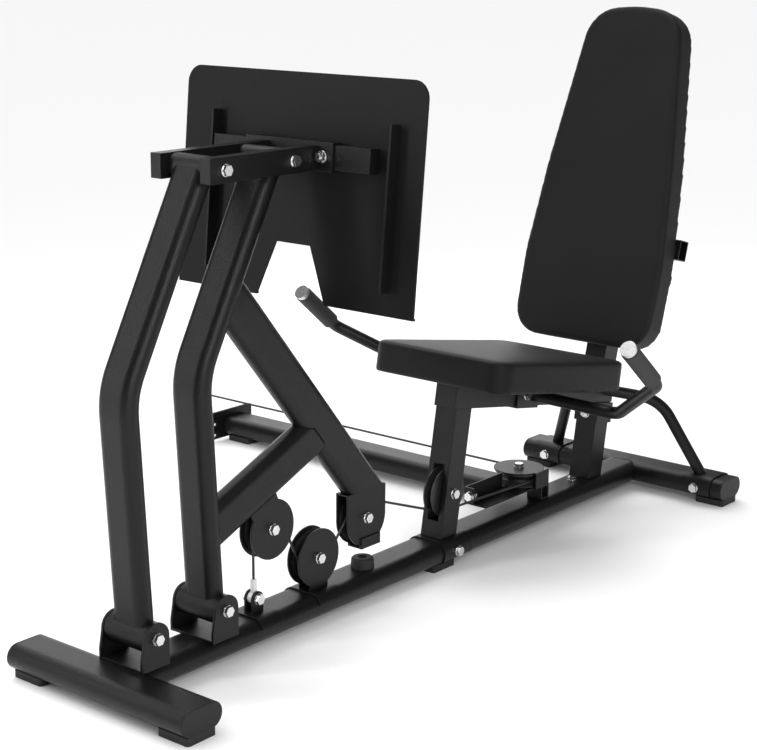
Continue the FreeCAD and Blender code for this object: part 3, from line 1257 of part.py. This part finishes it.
# fasteners ---------------------------------------------------------------
co, bo = S("clevis_out"), S("bar_out")
tooth = tw / 2
frame_bolts = [
    bolt("bolt_front_low", 0, -co, S("pivot_z"), *TO_NEAR, grip=co * 2),
    bolt("bolt_rear_low", S("pivot_gap"), -co, S("pivot_z"), *TO_NEAR, grip=co * 2),
    bolt("bolt_rail_pulley", rx, -ci - t3, rz, *TO_NEAR, grip=(ci + t3) * 2),
    bolt("bolt_post_pulley", px, -tooth, pzz, *TO_NEAR, grip=tw),
    bolt("bolt_flat_pulley", qx, qy, top0 + t3, (0, 0, 1), 0, grip=(cf + t3) * 2),
    bolt("bolt_anchor", ax_, -ag - 4, az_, *TO_NEAR, grip=ag * 2 + 8),
    bolt("bolt_block", S("block_front"), S("block_flange") - 15, flat_z, *TO_FRONT, grip=t3),
    bolt("bolt_handle", seat(hb, bh / 2)[0], -tooth - bt4, seat(hb, bh / 2)[1], *TO_NEAR,
         grip=tw + bt4 * 2),
    bolt("bolt_joint", saddle_bolt_x, -half_base - t3, rail_mid, *TO_NEAR, grip=S("rail_wide") + t3 * 2),
    bolt("bolt_upright", S("upright_bolt"), 0, rail_top, (0, 0, 1), 0, grip=S("rail_high")),
    bolt("bolt_base_near", S("rear_base_x") - half_base - t3, -S("brace_foot_y"), rail_mid, *TO_FRONT,
         grip=S("rail_wide") + t3 * 2),
    bolt("bolt_base_far", S("rear_base_x") - half_base - t3, S("brace_foot_y"), rail_mid, *TO_FRONT,
         grip=S("rail_wide") + t3 * 2),
]
rpx, rpz = seat(c0 - bt4, -28)
frame_bolts.append(bolt("bolt_collar", rpx, 0, rpz, (0, 1, 0), S("seat_lean") - 90, grip=bt4 + tt + 6,
                        nut=False))
group("frame_bolts", frame_bolts)
group("carrier_bolts", [
    bolt("bolt_front_top", top_dx, -bo, top_z, *TO_NEAR, grip=bo * 2),
    bolt("bolt_rear_top", S("pivot_gap") + top_dx, -bo, top_z, *TO_NEAR, grip=bo * 2),
] + [bolt("bolt_sleeve_%s" % tag, face_x + S("foot_thick") * qcos(lean), S("sleeve_bolt_y") * s,
          top_z - S("foot_thick") * qsin(lean), (0, 1, 0), lean + 90,
          grip=S("foot_thick") + bt + sl) for tag, s in (("near", -1), ("far", 1))])
group("lever_bolts", [
    bolt("bolt_brace_pulley", bx, -ci - t3, bz, *TO_NEAR, grip=(ci + t3) * 2),
    bolt("bolt_fork_pulley", fx, -ci - t3, fz, *TO_NEAR, grip=(ci + t3) * 2),
])

# cable ---------------------------------------------------------------------
f = float
cable_r = f(S("cable_dia")) / 2


def tangent(c1, r1, side1, c2, r2, side2):
    """Straight run between two pulleys; side +1 keeps the centre on the right of the travel."""
    dx, dz = c2[0] - c1[0], c2[1] - c1[1]
    dist = math.hypot(dx, dz)
    base = math.atan2(dz, dx)
    turn = math.asin((side2 * r2 - side1 * r1) / dist)
    a = base + turn
    d = (math.cos(a), math.sin(a))
    left = (-d[1], d[0])
    p1 = (c1[0] + left[0] * r1 * side1, c1[1] + left[1] * r1 * side1)
    p2 = (c2[0] + left[0] * r2 * side2, c2[1] + left[1] * r2 * side2)
    return p1, p2, a


def V3(pt, y=0.0):
    return Vector(pt[0], y, pt[1])


def wrap(c, r, a1, a2, side):
    """Arc on a pulley from the travel direction a1 to a2."""
    def at(a):
        return (c[0] - math.sin(a) * r * side, c[1] + math.cos(a) * r * side)
    return Part.Wire([Part.Arc(V3(at(a1)), V3(at((a1 + a2) / 2)), V3(at(a2))).toShape()])


def rod(a, b):
    d = b - a
    return Part.makeCylinder(cable_r, d.Length, a, d)


PB, PR, PF, PP = (f(bx), f(bz)), (f(rx), f(rz)), (f(fx), f(fz)), (f(px), f(pzz))
rB = rR = f(S("groove_rad"))
rF, rP, rH = f(S("groove_rad_fork")), f(S("groove_rad_post")), f(S("groove_rad_flat"))
start = (f(ax_), f(S("ferrule_top")))
_, t_in, a0 = tangent(start, 0.0, 1, PB, rB, 1)
t1, t2, a1 = tangent(PB, rB, 1, PR, rR, -1)
t3_, t4, a2 = tangent(PR, rR, -1, PF, rF, 1)
t5, t6, a3 = tangent(PF, rF, 1, PP, rP, -1)
keep(shaped("cable_span_anchor", rod(V3(start) + Vector(0, 0, 0.3), V3(t_in))), "cable_span_anchor")
keep(shaped("cable_span_brace", rod(V3(t1), V3(t2))), "cable_span_brace")
keep(shaped("cable_span_fork", rod(V3(t3_), V3(t4))), "cable_span_fork")
keep(shaped("cable_span_post", rod(V3(t5), V3(t6))), "cable_span_post")
group("cable_wraps", [shaped("wrap_brace", swept(wrap(PB, rB, a0, a1, 1), cable_r)),
                      shaped("wrap_fork", swept(wrap(PF, rF, a2, a3, 1), cable_r))])

# under the rail pulley, under the post pulley and round the flat pulley
leave = Vector(PP[0] + 0.4, 0, f(flat_z))
flat = Vector(f(qx), f(qy), f(flat_z))
to_c = flat - leave
reach = math.hypot(to_c.x, to_c.y)
side = math.atan2(to_c.y, to_c.x) - math.asin(rH / reach)
touch = Vector(flat.x + rH * math.sin(side), flat.y - rH * math.cos(side), flat.z)
out_pt = Vector(flat.x + rH, flat.y, flat.z)
mid_a = (side - math.pi / 2) / 2
mid_pt = Vector(flat.x + rH * math.cos(mid_a), flat.y + rH * math.sin(mid_a), flat.z)
low_wrap = swept(wrap(PR, rR, a1, a2, -1), cable_r)
post_wrap = swept(wrap(PP, rP, a3, 0.0, -1), cable_r)
run = Part.Wire([Part.LineSegment(leave, touch).toShape(), Part.Arc(touch, mid_pt, out_pt).toShape()])
group("cable_fixed", [shaped("wrap_rail", low_wrap), shaped("wrap_post", post_wrap),
                      shaped("run_flat", swept(run, cable_r))])
tail_end = out_pt + Vector(0, f(S("tail_long")), 0)
keep(shaped("cable_tail", rod(out_pt, tail_end)), "cable_tail")
fit = Part.makeCylinder(f(S("ferrule_dia")) / 2, f(S("tail_fit")), tail_end, Vector(0, 1, 0))
eye_c = tail_end + Vector(0, f(S("tail_fit")) + 9, 0)
eye = Part.makeCylinder(12, 6, eye_c - Vector(0, 0, 3),
                        Vector(0, 0, 1)).cut(Part.makeCylinder(6, 8, eye_c - Vector(0, 0, 4),
                                Vector(0, 0, 1)))
neck = Part.makeBox(8, 8, 6, tail_end + Vector(-4, f(S("tail_fit")) - 4, -3))
keep(shaped("cable_tail_eye", fit.fuse([eye, neck]).removeSplitter()), "cable_tail_eye")
# swaged ferrule with its eye on the anchor bolt
d = V3(t_in) - V3(start)
d.normalize()
eye_w = f(S("anchor_gap")) / 2 - 0.5
low_eye = Part.makeCylinder(11, eye_w * 2, Vector(f(ax_), -eye_w, f(az_)), Vector(0, 1, 0))
stem = Part.makeCylinder(f(S("ferrule_dia")) / 2, (V3(start) - Vector(f(ax_), 0, f(az_))).Length,
                         Vector(f(ax_), 0, f(az_)), Vector(0, 0, 1))
ferrule = low_eye.fuse(stem).removeSplitter().cut(Part.makeCylinder(f(S("hole_dia")) / 2, 40,
        Vector(f(ax_), -20, f(az_)), Vector(0, 1, 0)))
keep(shaped("cable_ferrule", ferrule), "cable_ferrule")

# checks and output -------------------------------------------------------------
doc.recompute()
bad = [o.Name for o in doc.Objects if "Invalid" in o.State or "Error" in o.State]
for obj in NODES:
    shape = obj.Shape
    if shape.isNull() or not shape.isValid() or not shape.Solids:
        bad.append(obj.Label)
if bad:
    raise RuntimeError("failed objects: " + ", ".join(bad))
os.makedirs("parts", exist_ok=True)
for obj in NODES:
    obj.Shape.exportStep("parts/%s.step" % obj.Label)
print("nodes", len(NODES), "volume cm3", round(sum(o.Shape.Volume for o in NODES) / 1000))
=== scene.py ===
import bmesh
import bpy
import json
import math
import numpy as np
from mathutils import Matrix, Vector


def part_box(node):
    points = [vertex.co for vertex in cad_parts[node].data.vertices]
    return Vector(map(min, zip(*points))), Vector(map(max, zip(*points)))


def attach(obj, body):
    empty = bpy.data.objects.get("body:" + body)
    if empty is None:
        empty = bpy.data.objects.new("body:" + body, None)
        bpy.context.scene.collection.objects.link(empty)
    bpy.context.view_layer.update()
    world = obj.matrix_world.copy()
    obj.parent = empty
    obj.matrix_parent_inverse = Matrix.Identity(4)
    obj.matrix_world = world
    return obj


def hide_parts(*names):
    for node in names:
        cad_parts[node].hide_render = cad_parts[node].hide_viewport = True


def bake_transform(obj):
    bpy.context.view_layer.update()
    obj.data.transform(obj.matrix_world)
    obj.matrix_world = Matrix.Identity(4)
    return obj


# Leg press: materials, upholstery, cables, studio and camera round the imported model.
# Lengths are in metres.
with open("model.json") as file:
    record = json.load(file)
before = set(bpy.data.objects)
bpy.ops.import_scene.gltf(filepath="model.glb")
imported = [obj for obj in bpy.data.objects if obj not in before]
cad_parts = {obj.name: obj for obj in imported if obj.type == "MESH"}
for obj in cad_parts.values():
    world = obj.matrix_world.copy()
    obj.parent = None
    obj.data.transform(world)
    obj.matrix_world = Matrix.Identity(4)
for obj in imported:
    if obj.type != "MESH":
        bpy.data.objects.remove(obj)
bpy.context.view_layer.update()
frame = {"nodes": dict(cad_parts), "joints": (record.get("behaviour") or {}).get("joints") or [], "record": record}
nodes = frame["nodes"]
D = bpy.data
scene = bpy.context.scene
slots = {s["node"]: s["material_slot"] for s in frame["record"]["subparts"]}

# ---------------------------------------------------------------- material helpers


def tree(name):
    material = D.materials.new(name)
    material.use_nodes = True
    nt = material.node_tree
    return material, nt, nt.nodes["Principled BSDF"]


def ramp(nt, fac, stops):
    """Colour ramp with the given (position, colour) stops."""
    node = nt.nodes.new("ShaderNodeValToRGB")
    nt.links.new(fac, node.inputs[0])
    for stop, (position, colour) in zip(node.color_ramp.elements, stops):
        stop.position = position
        stop.color = (*colour, 1)
    return node.outputs[0]


def texture(nt, kind, scale, **inputs):
    """Texture node in the object's own coordinates."""
    where = nt.nodes.get("where") or nt.nodes.new("ShaderNodeTexCoord")
    where.name = "where"
    node = nt.nodes.new(kind)
    node.inputs["Scale"].default_value = scale
    for name, value in inputs.items():
        node.inputs[name].default_value = value
    nt.links.new(where.outputs["Object"], node.inputs["Vector"])
    return node


def bump(nt, height, distance, strength=1.0, under=None):
    node = nt.nodes.new("ShaderNodeBump")
    node.inputs["Strength"].default_value = strength
    node.inputs["Distance"].default_value = distance
    nt.links.new(height, node.inputs["Height"])
    if under is not None:
        nt.links.new(under, node.inputs["Normal"])
    return node.outputs[0]


def soft_edge(nt, radius):
    """Normal that rounds sharp edges over the given radius."""
    node = nt.nodes.new("ShaderNodeBevel")
    node.samples = 6
    node.inputs["Radius"].default_value = radius
    return node.outputs[0]


def between(nt, fac, low, high):
    node = nt.nodes.new("ShaderNodeMapRange")
    nt.links.new(fac, node.inputs["Value"])
    node.inputs["To Min"].default_value = low
    node.inputs["To Max"].default_value = high
    return node.outputs[0]


# ---------------------------------------------------------------- materials


def surface(name, dark, light, rough, grain, edge=0.0007, specular=0.5):
    """Paint, plastic or rubber: colour and roughness drift slowly, and a fine grain stands on soft edges.
    grain is its scale and its height."""
    material, nt, shader = tree(name)
    drift = texture(nt, "ShaderNodeTexNoise", 9, Detail=5, Roughness=0.6).outputs["Fac"]
    fine = texture(nt, "ShaderNodeTexNoise", grain[0], Detail=4, Roughness=0.65).outputs["Fac"]
    nt.links.new(ramp(nt, drift, [(0.35, dark), (0.65, light)]), shader.inputs["Base Color"])
    nt.links.new(between(nt, drift, *rough), shader.inputs["Roughness"])
    nt.links.new(bump(nt, fine, grain[1], 1.0, soft_edge(nt, edge)), shader.inputs["Normal"])
    shader.inputs["Specular IOR Level"].default_value = specular
    return material


def vinyl(name, dark, light):
    """Upholstery vinyl: pebbled grain of two sizes with fine creases between the pebbles."""
    material, nt, shader = tree(name)
    drift = texture(nt, "ShaderNodeTexNoise", 6, Detail=4).outputs["Fac"]
    pebble = texture(nt, "ShaderNodeTexVoronoi", 620)
    pebble.feature = "DISTANCE_TO_EDGE"
    small = texture(nt, "ShaderNodeTexVoronoi", 1500)
    crease = ramp(nt, pebble.outputs["Distance"], [(0.0, (0, 0, 0)), (0.16, (1, 1, 1))])
    pebbled = bump(nt, crease, 0.00016, 0.8)
    nt.links.new(ramp(nt, drift, [(0.3, dark), (0.7, light)]), shader.inputs["Base Color"])
    nt.links.new(between(nt, drift, 0.44, 0.52), shader.inputs["Roughness"])
    nt.links.new(bump(nt, small.outputs["Distance"], 0.00005, 0.6, pebbled), shader.inputs["Normal"])
    shader.inputs["Specular IOR Level"].default_value = 0.17
    shader.inputs["Sheen Weight"].default_value = 0.03
    shader.inputs["Sheen Roughness"].default_value = 0.4
    return material


def bright(name, colour, rough):
    """Plated steel with fine scratches."""
    material, nt, shader = tree(name)
    scratch = texture(nt, "ShaderNodeTexNoise", 260, Detail=4, Roughness=0.7).outputs["Fac"]
    dull = [c * 0.86 for c in colour]
    nt.links.new(ramp(nt, scratch, [(0.3, dull), (0.7, colour)]), shader.inputs["Base Color"])
    nt.links.new(between(nt, scratch, *rough), shader.inputs["Roughness"])
    nt.links.new(bump(nt, scratch, 0.00004, 0.6, soft_edge(nt, 0.0006)), shader.inputs["Normal"])
    shader.inputs["Metallic"].default_value = 1.0
    return material


def cable_jacket():
    """Coated wire rope: the strands show through the jacket."""
    material, nt, shader = tree("cable_jacket")
    strands = texture(nt, "ShaderNodeTexWave", 90, Distortion=0.4, Detail=1)
    strands.bands_direction = "DIAGONAL"
    tones = [(0.2, (0.012, 0.012, 0.012)), (0.8, (0.022, 0.022, 0.023))]
    nt.links.new(ramp(nt, strands.outputs["Fac"], tones), shader.inputs["Base Color"])
    nt.links.new(bump(nt, strands.outputs["Fac"], 0.00025, 0.8), shader.inputs["Normal"])
    shader.inputs["Roughness"].default_value = 0.35
    return material


def grey(value, blue=0.0):
    return (value, value, value + blue)


plate_paint = surface("powder_coat_plate", grey(0.0055, 0.0005), grey(0.007, 0.0005), (0.46, 0.54),
                      (420, 0.0003), 0.0012, 0.16)
materials = {
    "frame_paint": surface("powder_coat", grey(0.0045, 0.0003), grey(0.006, 0.0003), (0.28, 0.35),
                           (380, 0.0007), 0.0018, 0.24),
    "cap_plastic": surface("cap_plastic", grey(0.0085, 0.0005), grey(0.011, 0.0005), (0.42, 0.5),
                           (600, 0.0002), 0.003, 0.26),
    "pad_rubber": surface("rubber", grey(0.008), grey(0.013), (0.6, 0.75), (420, 0.0002), 0.0015),
    "bush_plastic": surface("bush_plastic", grey(0.012), grey(0.018), (0.35, 0.45), (500, 0.00005)),
    "pulley_plastic": surface("pulley_plastic", grey(0.008, 0.001), grey(0.012), (0.3, 0.4), (300, 0.00005)),
    "board_wood": surface("board", (0.008, 0.007, 0.006), (0.014, 0.012, 0.01), (0.6, 0.7), (240, 0.0002)),
    "grip_foam": surface("grip_foam", grey(0.012, 0.001), grey(0.019, 0.001), (0.55, 0.68),
                         (1500, 0.00025), 0.002),
    "cap_chrome": bright("cap_chrome", grey(0.72, 0.01), (0.22, 0.34)),
    "bolt_chrome": bright("bolt_zinc", grey(0.78, 0.01), (0.14, 0.26)),
    "eye_steel": bright("eye_steel", grey(0.5, 0.02), (0.25, 0.4)),
    "ferrule_white": surface("ferrule", grey(0.62), grey(0.7), (0.3, 0.4), (300, 0.00004)),
    "seat_vinyl": vinyl("seat_vinyl", grey(0.004, 0.0003), grey(0.0055, 0.0003)),
    "back_vinyl": vinyl("back_vinyl", grey(0.0065, 0.0005), grey(0.0085, 0.0005)),
    "cable_black": cable_jacket(),
}
for name, obj in nodes.items():
    obj.data.materials.clear()
    obj.data.materials.append(plate_paint if name == "footplate" else materials[slots[name]])

# ---------------------------------------------------------------- mesh helpers


def link(name, data):
    obj = D.objects.new(name, data)
    scene.collection.objects.link(obj)
    return obj


def smooth(obj):
    for face in obj.data.polygons:
        face.use_smooth = True


def apply_modifiers(obj):
    evaluated = obj.evaluated_get(bpy.context.evaluated_depsgraph_get())
    result = D.meshes.new_from_object(evaluated)
    obj.modifiers.clear()
    old = obj.data
    obj.data = result
    D.meshes.remove(old)


def places(mesh):
    """Vertex positions as an array of rows."""
    co = np.empty(len(mesh.vertices) * 3)
    mesh.vertices.foreach_get("co", co)
    return co.reshape(-1, 3)


def move_to(mesh, co):
    mesh.vertices.foreach_set("co", co.ravel())
    mesh.update()


def spread(mesh, values, steps):
    """Moves each vertex's value towards its neighbours' mean, by each factor in steps."""
    edges = np.empty(len(mesh.edges) * 2, dtype=int)
    mesh.edges.foreach_get("vertices", edges)
    edges = edges.reshape(-1, 2)
    count = np.bincount(edges.ravel(), minlength=len(values))[:, None]
    for factor in steps:
        total = np.zeros_like(values)
        np.add.at(total, edges[:, 0], values[edges[:, 1]])
        np.add.at(total, edges[:, 1], values[edges[:, 0]])
        values = values + factor * (total / count - values)
    return values


def relax(mesh, rounds):
    """Taubin smoothing: takes the voxel steps out and keeps the volume."""
    move_to(mesh, spread(mesh, places(mesh), [0.5, -0.52] * rounds))


# ---------------------------------------------------------------- upholstery
VOXEL = 0.0045          # remesh size of a pad
HELD, FADE = 0.008, 0.012   # depth at a pad's back that is held, and over which the hold fades
SWELL_CAP = 0.004       # furthest that foam may push the vinyl
CLOTH_FRAMES = 14
PRESSURE = 4.0
SWELL_SHARE = 0.5       # share of the swelling that is kept
CROWN = 0.0022          # how much lower the face is at its rim
CROWN_FROM = 0.45       # share of the half width where the crown starts
FACE_DEPTH = 0.004      # points this near the top belong to the face


def blow_up(obj, height):
    """Cloth under pressure, held along the pad's back."""
    held = obj.vertex_groups.new(name="held")
    for i, depth in enumerate(height - height.min()):
        weight = 1 - min(1, max(0, (depth - HELD) / FADE))
        if weight > 0:
            held.add([i], float(weight), "REPLACE")
    cloth = obj.modifiers.new("cloth", "CLOTH")
    cs = cloth.settings
    cs.quality = 5
    cs.mass = 0.3
    cs.tension_stiffness = cs.compression_stiffness = 60
    cs.shear_stiffness = 30
    cs.bending_stiffness = 8
    cs.use_pressure = True
    cs.uniform_pressure_force = PRESSURE
    cs.effector_weights.gravity = 0
    cs.vertex_group_mass = "held"
    cloth.collision_settings.use_collision = False
    cloth.point_cache.frame_start = 1
    cloth.point_cache.frame_end = CLOTH_FRAMES
    for number in range(1, CLOTH_FRAMES + 1):
        scene.frame_set(number)
        bpy.context.view_layer.update()
    apply_modifiers(obj)
    scene.frame_set(1)


def upholster(node, name, up, long_axis):
    """Foam under vinyl: the pad's own solid swells as cloth and its face is crowned a little,
    while its rim keeps the tight radius of stretched vinyl. up points out of its face."""
    mesh = nodes[node].data.copy()
    mesh.name = name
    obj = link(name, mesh)
    remesh = obj.modifiers.new("remesh", "REMESH")
    remesh.mode = "VOXEL"
    remesh.voxel_size = VOXEL
    remesh.use_smooth_shade = True
    apply_modifiers(obj)
    obj.data.materials.clear()
    relax(obj.data, 9)
    up = np.array(Vector(up).normalized())
    rest = places(obj.data)
    height = rest @ up
    blow_up(obj, height)
    mesh = obj.data
    # the swelling, capped and without its wrinkles
    swell = places(mesh) - rest
    size = np.linalg.norm(swell, axis=1)[:, None]
    swell *= np.minimum(1, SWELL_CAP / np.maximum(size, 1e-9))
    swell = spread(mesh, swell, [0.7] * 40) * SWELL_SHARE
    # the crown: nothing in the middle of the face, most at its rim
    high, low = rest.max(axis=0), rest.min(axis=0)
    across = np.abs((rest - (high + low) / 2) / ((high - low) / 2))
    rim = np.maximum(across[:, 1], np.minimum(1, across[:, long_axis]))
    on_face = height > height.max() - FACE_DEPTH
    drop = CROWN * np.maximum(0, (rim - CROWN_FROM) / (1 - CROWN_FROM)) ** 2 * on_face
    move_to(mesh, rest + swell - drop[:, None] * up)
    relax(mesh, 5)
    smooth(obj)
    mesh.materials.clear()
    mesh.materials.append(materials[slots[node]])
    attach(obj, "frame")
    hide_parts(node)


SEAT_LEAN, BACK_LEAN = math.radians(10), math.radians(15.5)
upholster("seat_pad", "seat_cushion", (math.sin(SEAT_LEAN), 0, math.cos(SEAT_LEAN)), 0)
upholster("back_pad", "back_cushion", (-math.cos(BACK_LEAN), 0, math.sin(BACK_LEAN)), 2)

# ---------------------------------------------------------------- cable between the moving pulleys
CABLE_RADIUS = 0.0025
RINGS, SIDES = 28, 14


def ends_of(node):
    """Centres of the two end rings of a straight run."""
    co = np.array([v.co[:] for v in nodes[node].data.vertices])
    mid = co.mean(axis=0)
    axis = np.linalg.svd(co - mid, full_matrices=False)[2][0]
    along = (co - mid) @ axis
    return Vector(co[along < 0].mean(axis=0)), Vector(co[along > 0].mean(axis=0))


def run_of_cable(name, a, b):
    """Cable drawn as a tube with enough rings to bend smoothly."""
    direction = (b - a).normalized()
    u = direction.orthogonal().normalized()
    w = direction.cross(u)
    turns = [k * math.tau / SIDES for k in range(SIDES)]
    circle = [(u * math.cos(t) + w * math.sin(t)) * CABLE_RADIUS for t in turns]
    bm = bmesh.new()
    rings = [[bm.verts.new(a.lerp(b, i / RINGS) + c) for c in circle] for i in range(RINGS + 1)]
    for lower, upper in zip(rings, rings[1:]):
        for k in range(SIDES):
            after = (k + 1) % SIDES
            bm.faces.new((lower[k], lower[after], upper[after], upper[k]))
    bm.faces.new(rings[0][::-1])
    bm.faces.new(rings[-1])
    bmesh.ops.recalc_face_normals(bm, faces=bm.faces)
    mesh = D.meshes.new(name)
    bm.to_mesh(mesh)
    bm.free()
    mesh.materials.append(materials["cable_black"])
    obj = link(name, mesh)
    smooth(obj)
    return obj


# each run joins a pulley or clamp on the floor frame to a pulley on the swinging lever;
# the key finds the end on the floor frame as the lesser one
SPANS = {
    "cable_span_anchor": lambda p: p.z,
    "cable_span_brace": lambda p: p.z,
    "cable_span_fork": lambda p: p.x,
    "cable_span_post": lambda p: -p.x,
}
for node, key in SPANS.items():
    still, moving = sorted(ends_of(node), key=key)
    run = run_of_cable(node.replace("cable_span", "cable_run"), still, moving)
    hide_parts(node)
    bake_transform(run)

# ---------------------------------------------------------------- taut cable to the gym
low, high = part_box("cable_tail")
tail_x, tail_z = (low[0] + high[0]) / 2, (low[2] + high[2]) / 2
tail_y = [low[1], low[1] * 0.7 + high[1] * 0.3, low[1] * 0.3 + high[1] * 0.7, high[1]]
route = [(tail_x, y, tail_z) for y in tail_y]
curve = D.curves.new("cable_tail_run", "CURVE")
curve.dimensions = "3D"
spline = curve.splines.new("NURBS")
spline.points.add(len(route) - 1)
for point, place in zip(spline.points, route):
    point.co = (*place, 1)
spline.use_endpoint_u = True
spline.order_u = 3
curve.bevel_depth = CABLE_RADIUS
curve.bevel_resolution = 4
curve.resolution_u = 24
curve.materials.append(materials["cable_black"])
tail = link("cable_tail_run", curve)
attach(tail, "frame")
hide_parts("cable_tail")

# ---------------------------------------------------------------- floor
FLOOR_HALF = 60
floor_mesh = D.meshes.new("floor")
corners = [(-FLOOR_HALF, -FLOOR_HALF, 0), (FLOOR_HALF, -FLOOR_HALF, 0),
           (FLOOR_HALF, FLOOR_HALF, 0), (-FLOOR_HALF, FLOOR_HALF, 0)]
floor_mesh.from_pydata(corners, [], [(0, 1, 2, 3)])
floor_white, _, shader = tree("floor_white")
shader.inputs["Base Color"].default_value = (0.88, 0.88, 0.88, 1)
shader.inputs["Roughness"].default_value = 0.9
shader.inputs["Specular IOR Level"].default_value = 0.1
floor_mesh.materials.append(floor_white)
link("floor", floor_mesh)

# ---------------------------------------------------------------- light
# white surround: full white where it is seen, softer as fill, dim where the paint mirrors it
FILL, MIRRORED = 0.6, 0.14
world = D.worlds.new("studio")
scene.world = world
world.use_nodes = True
nt = world.node_tree
path = nt.nodes.new("ShaderNodeLightPath")
seen = nt.nodes.new("ShaderNodeMath")
seen.operation = "MAXIMUM"
nt.links.new(path.outputs["Is Camera Ray"], seen.inputs[0])
nt.links.new(between(nt, path.outputs["Is Glossy Ray"], FILL, MIRRORED), seen.inputs[1])
nt.links.new(seen.outputs[0], nt.nodes["Background"].inputs["Strength"])
nt.nodes["Background"].inputs["Color"].default_value = (1, 1, 1, 1)


def strip(name, place, aim, size, power):
    """Soft box that faces aim."""
    light = D.lights.new(name, "AREA")
    light.shape = "RECTANGLE"
    light.size, light.size_y = size
    light.energy = power
    obj = link(name, light)
    obj.location = place
    obj.rotation_euler = (Vector(aim) - Vector(place)).to_track_quat("-Z", "Y").to_euler()


sun = D.lights.new("soft_top", "SUN")
sun.energy = 1.7
sun.angle = math.radians(55)
link("soft_top", sun).rotation_euler = (math.radians(-22), math.radians(14), 0)
strip("strip_left", (-1.9, 0.9, 1.5), (0, -0.1, 0.55), (0.35, 2.2), 18)
strip("strip_right", (-1.5, -2.6, 1.6), (0.0, 0, 0.6), (0.5, 1.6), 40)
strip("strip_back", (2.2, 2.4, 1.0), (0, 0, 0.5), (3.2, 1.4), 26)
strip("strip_top", (0.0, 0.2, 2.6), (0, 0, 0.4), (2.6, 0.9), 14)

# ---------------------------------------------------------------- camera
AZIMUTH, ELEVATION, ROLL = math.radians(-50.6), math.radians(14.0), math.radians(0.35)
FROM_ARM = (-1.8430, -2.0345)   # from the front arm's pivot, along X and Y
CAMERA_HEIGHT = 1.2329
lens = D.cameras.new("camera")
lens.sensor_width = 36
lens.lens = 83.27
lens.shift_x, lens.shift_y = -0.00075, -0.003
lens.clip_end = 300
back = Vector((math.sin(AZIMUTH) * math.cos(ELEVATION), -math.cos(AZIMUTH) * math.cos(ELEVATION),
               math.sin(ELEVATION)))
right = Vector((math.cos(AZIMUTH), math.sin(AZIMUTH), 0))
up = back.cross(right)
turned_right = right * math.cos(ROLL) + up * math.sin(ROLL)
turned_up = up * math.cos(ROLL) - right * math.sin(ROLL)
pivot = next(j["pos_m"] for j in frame["joints"] if j["name"] == "front_arm_swing")
stand = Matrix.Translation((pivot[0] + FROM_ARM[0], pivot[1] + FROM_ARM[1], CAMERA_HEIGHT))
camera = link("camera", lens)
camera.matrix_world = stand @ Matrix((turned_right, turned_up, back)).transposed().to_4x4()
scene.camera = camera
scene.view_settings.view_transform = "Standard"
scene.view_settings.look = "None"
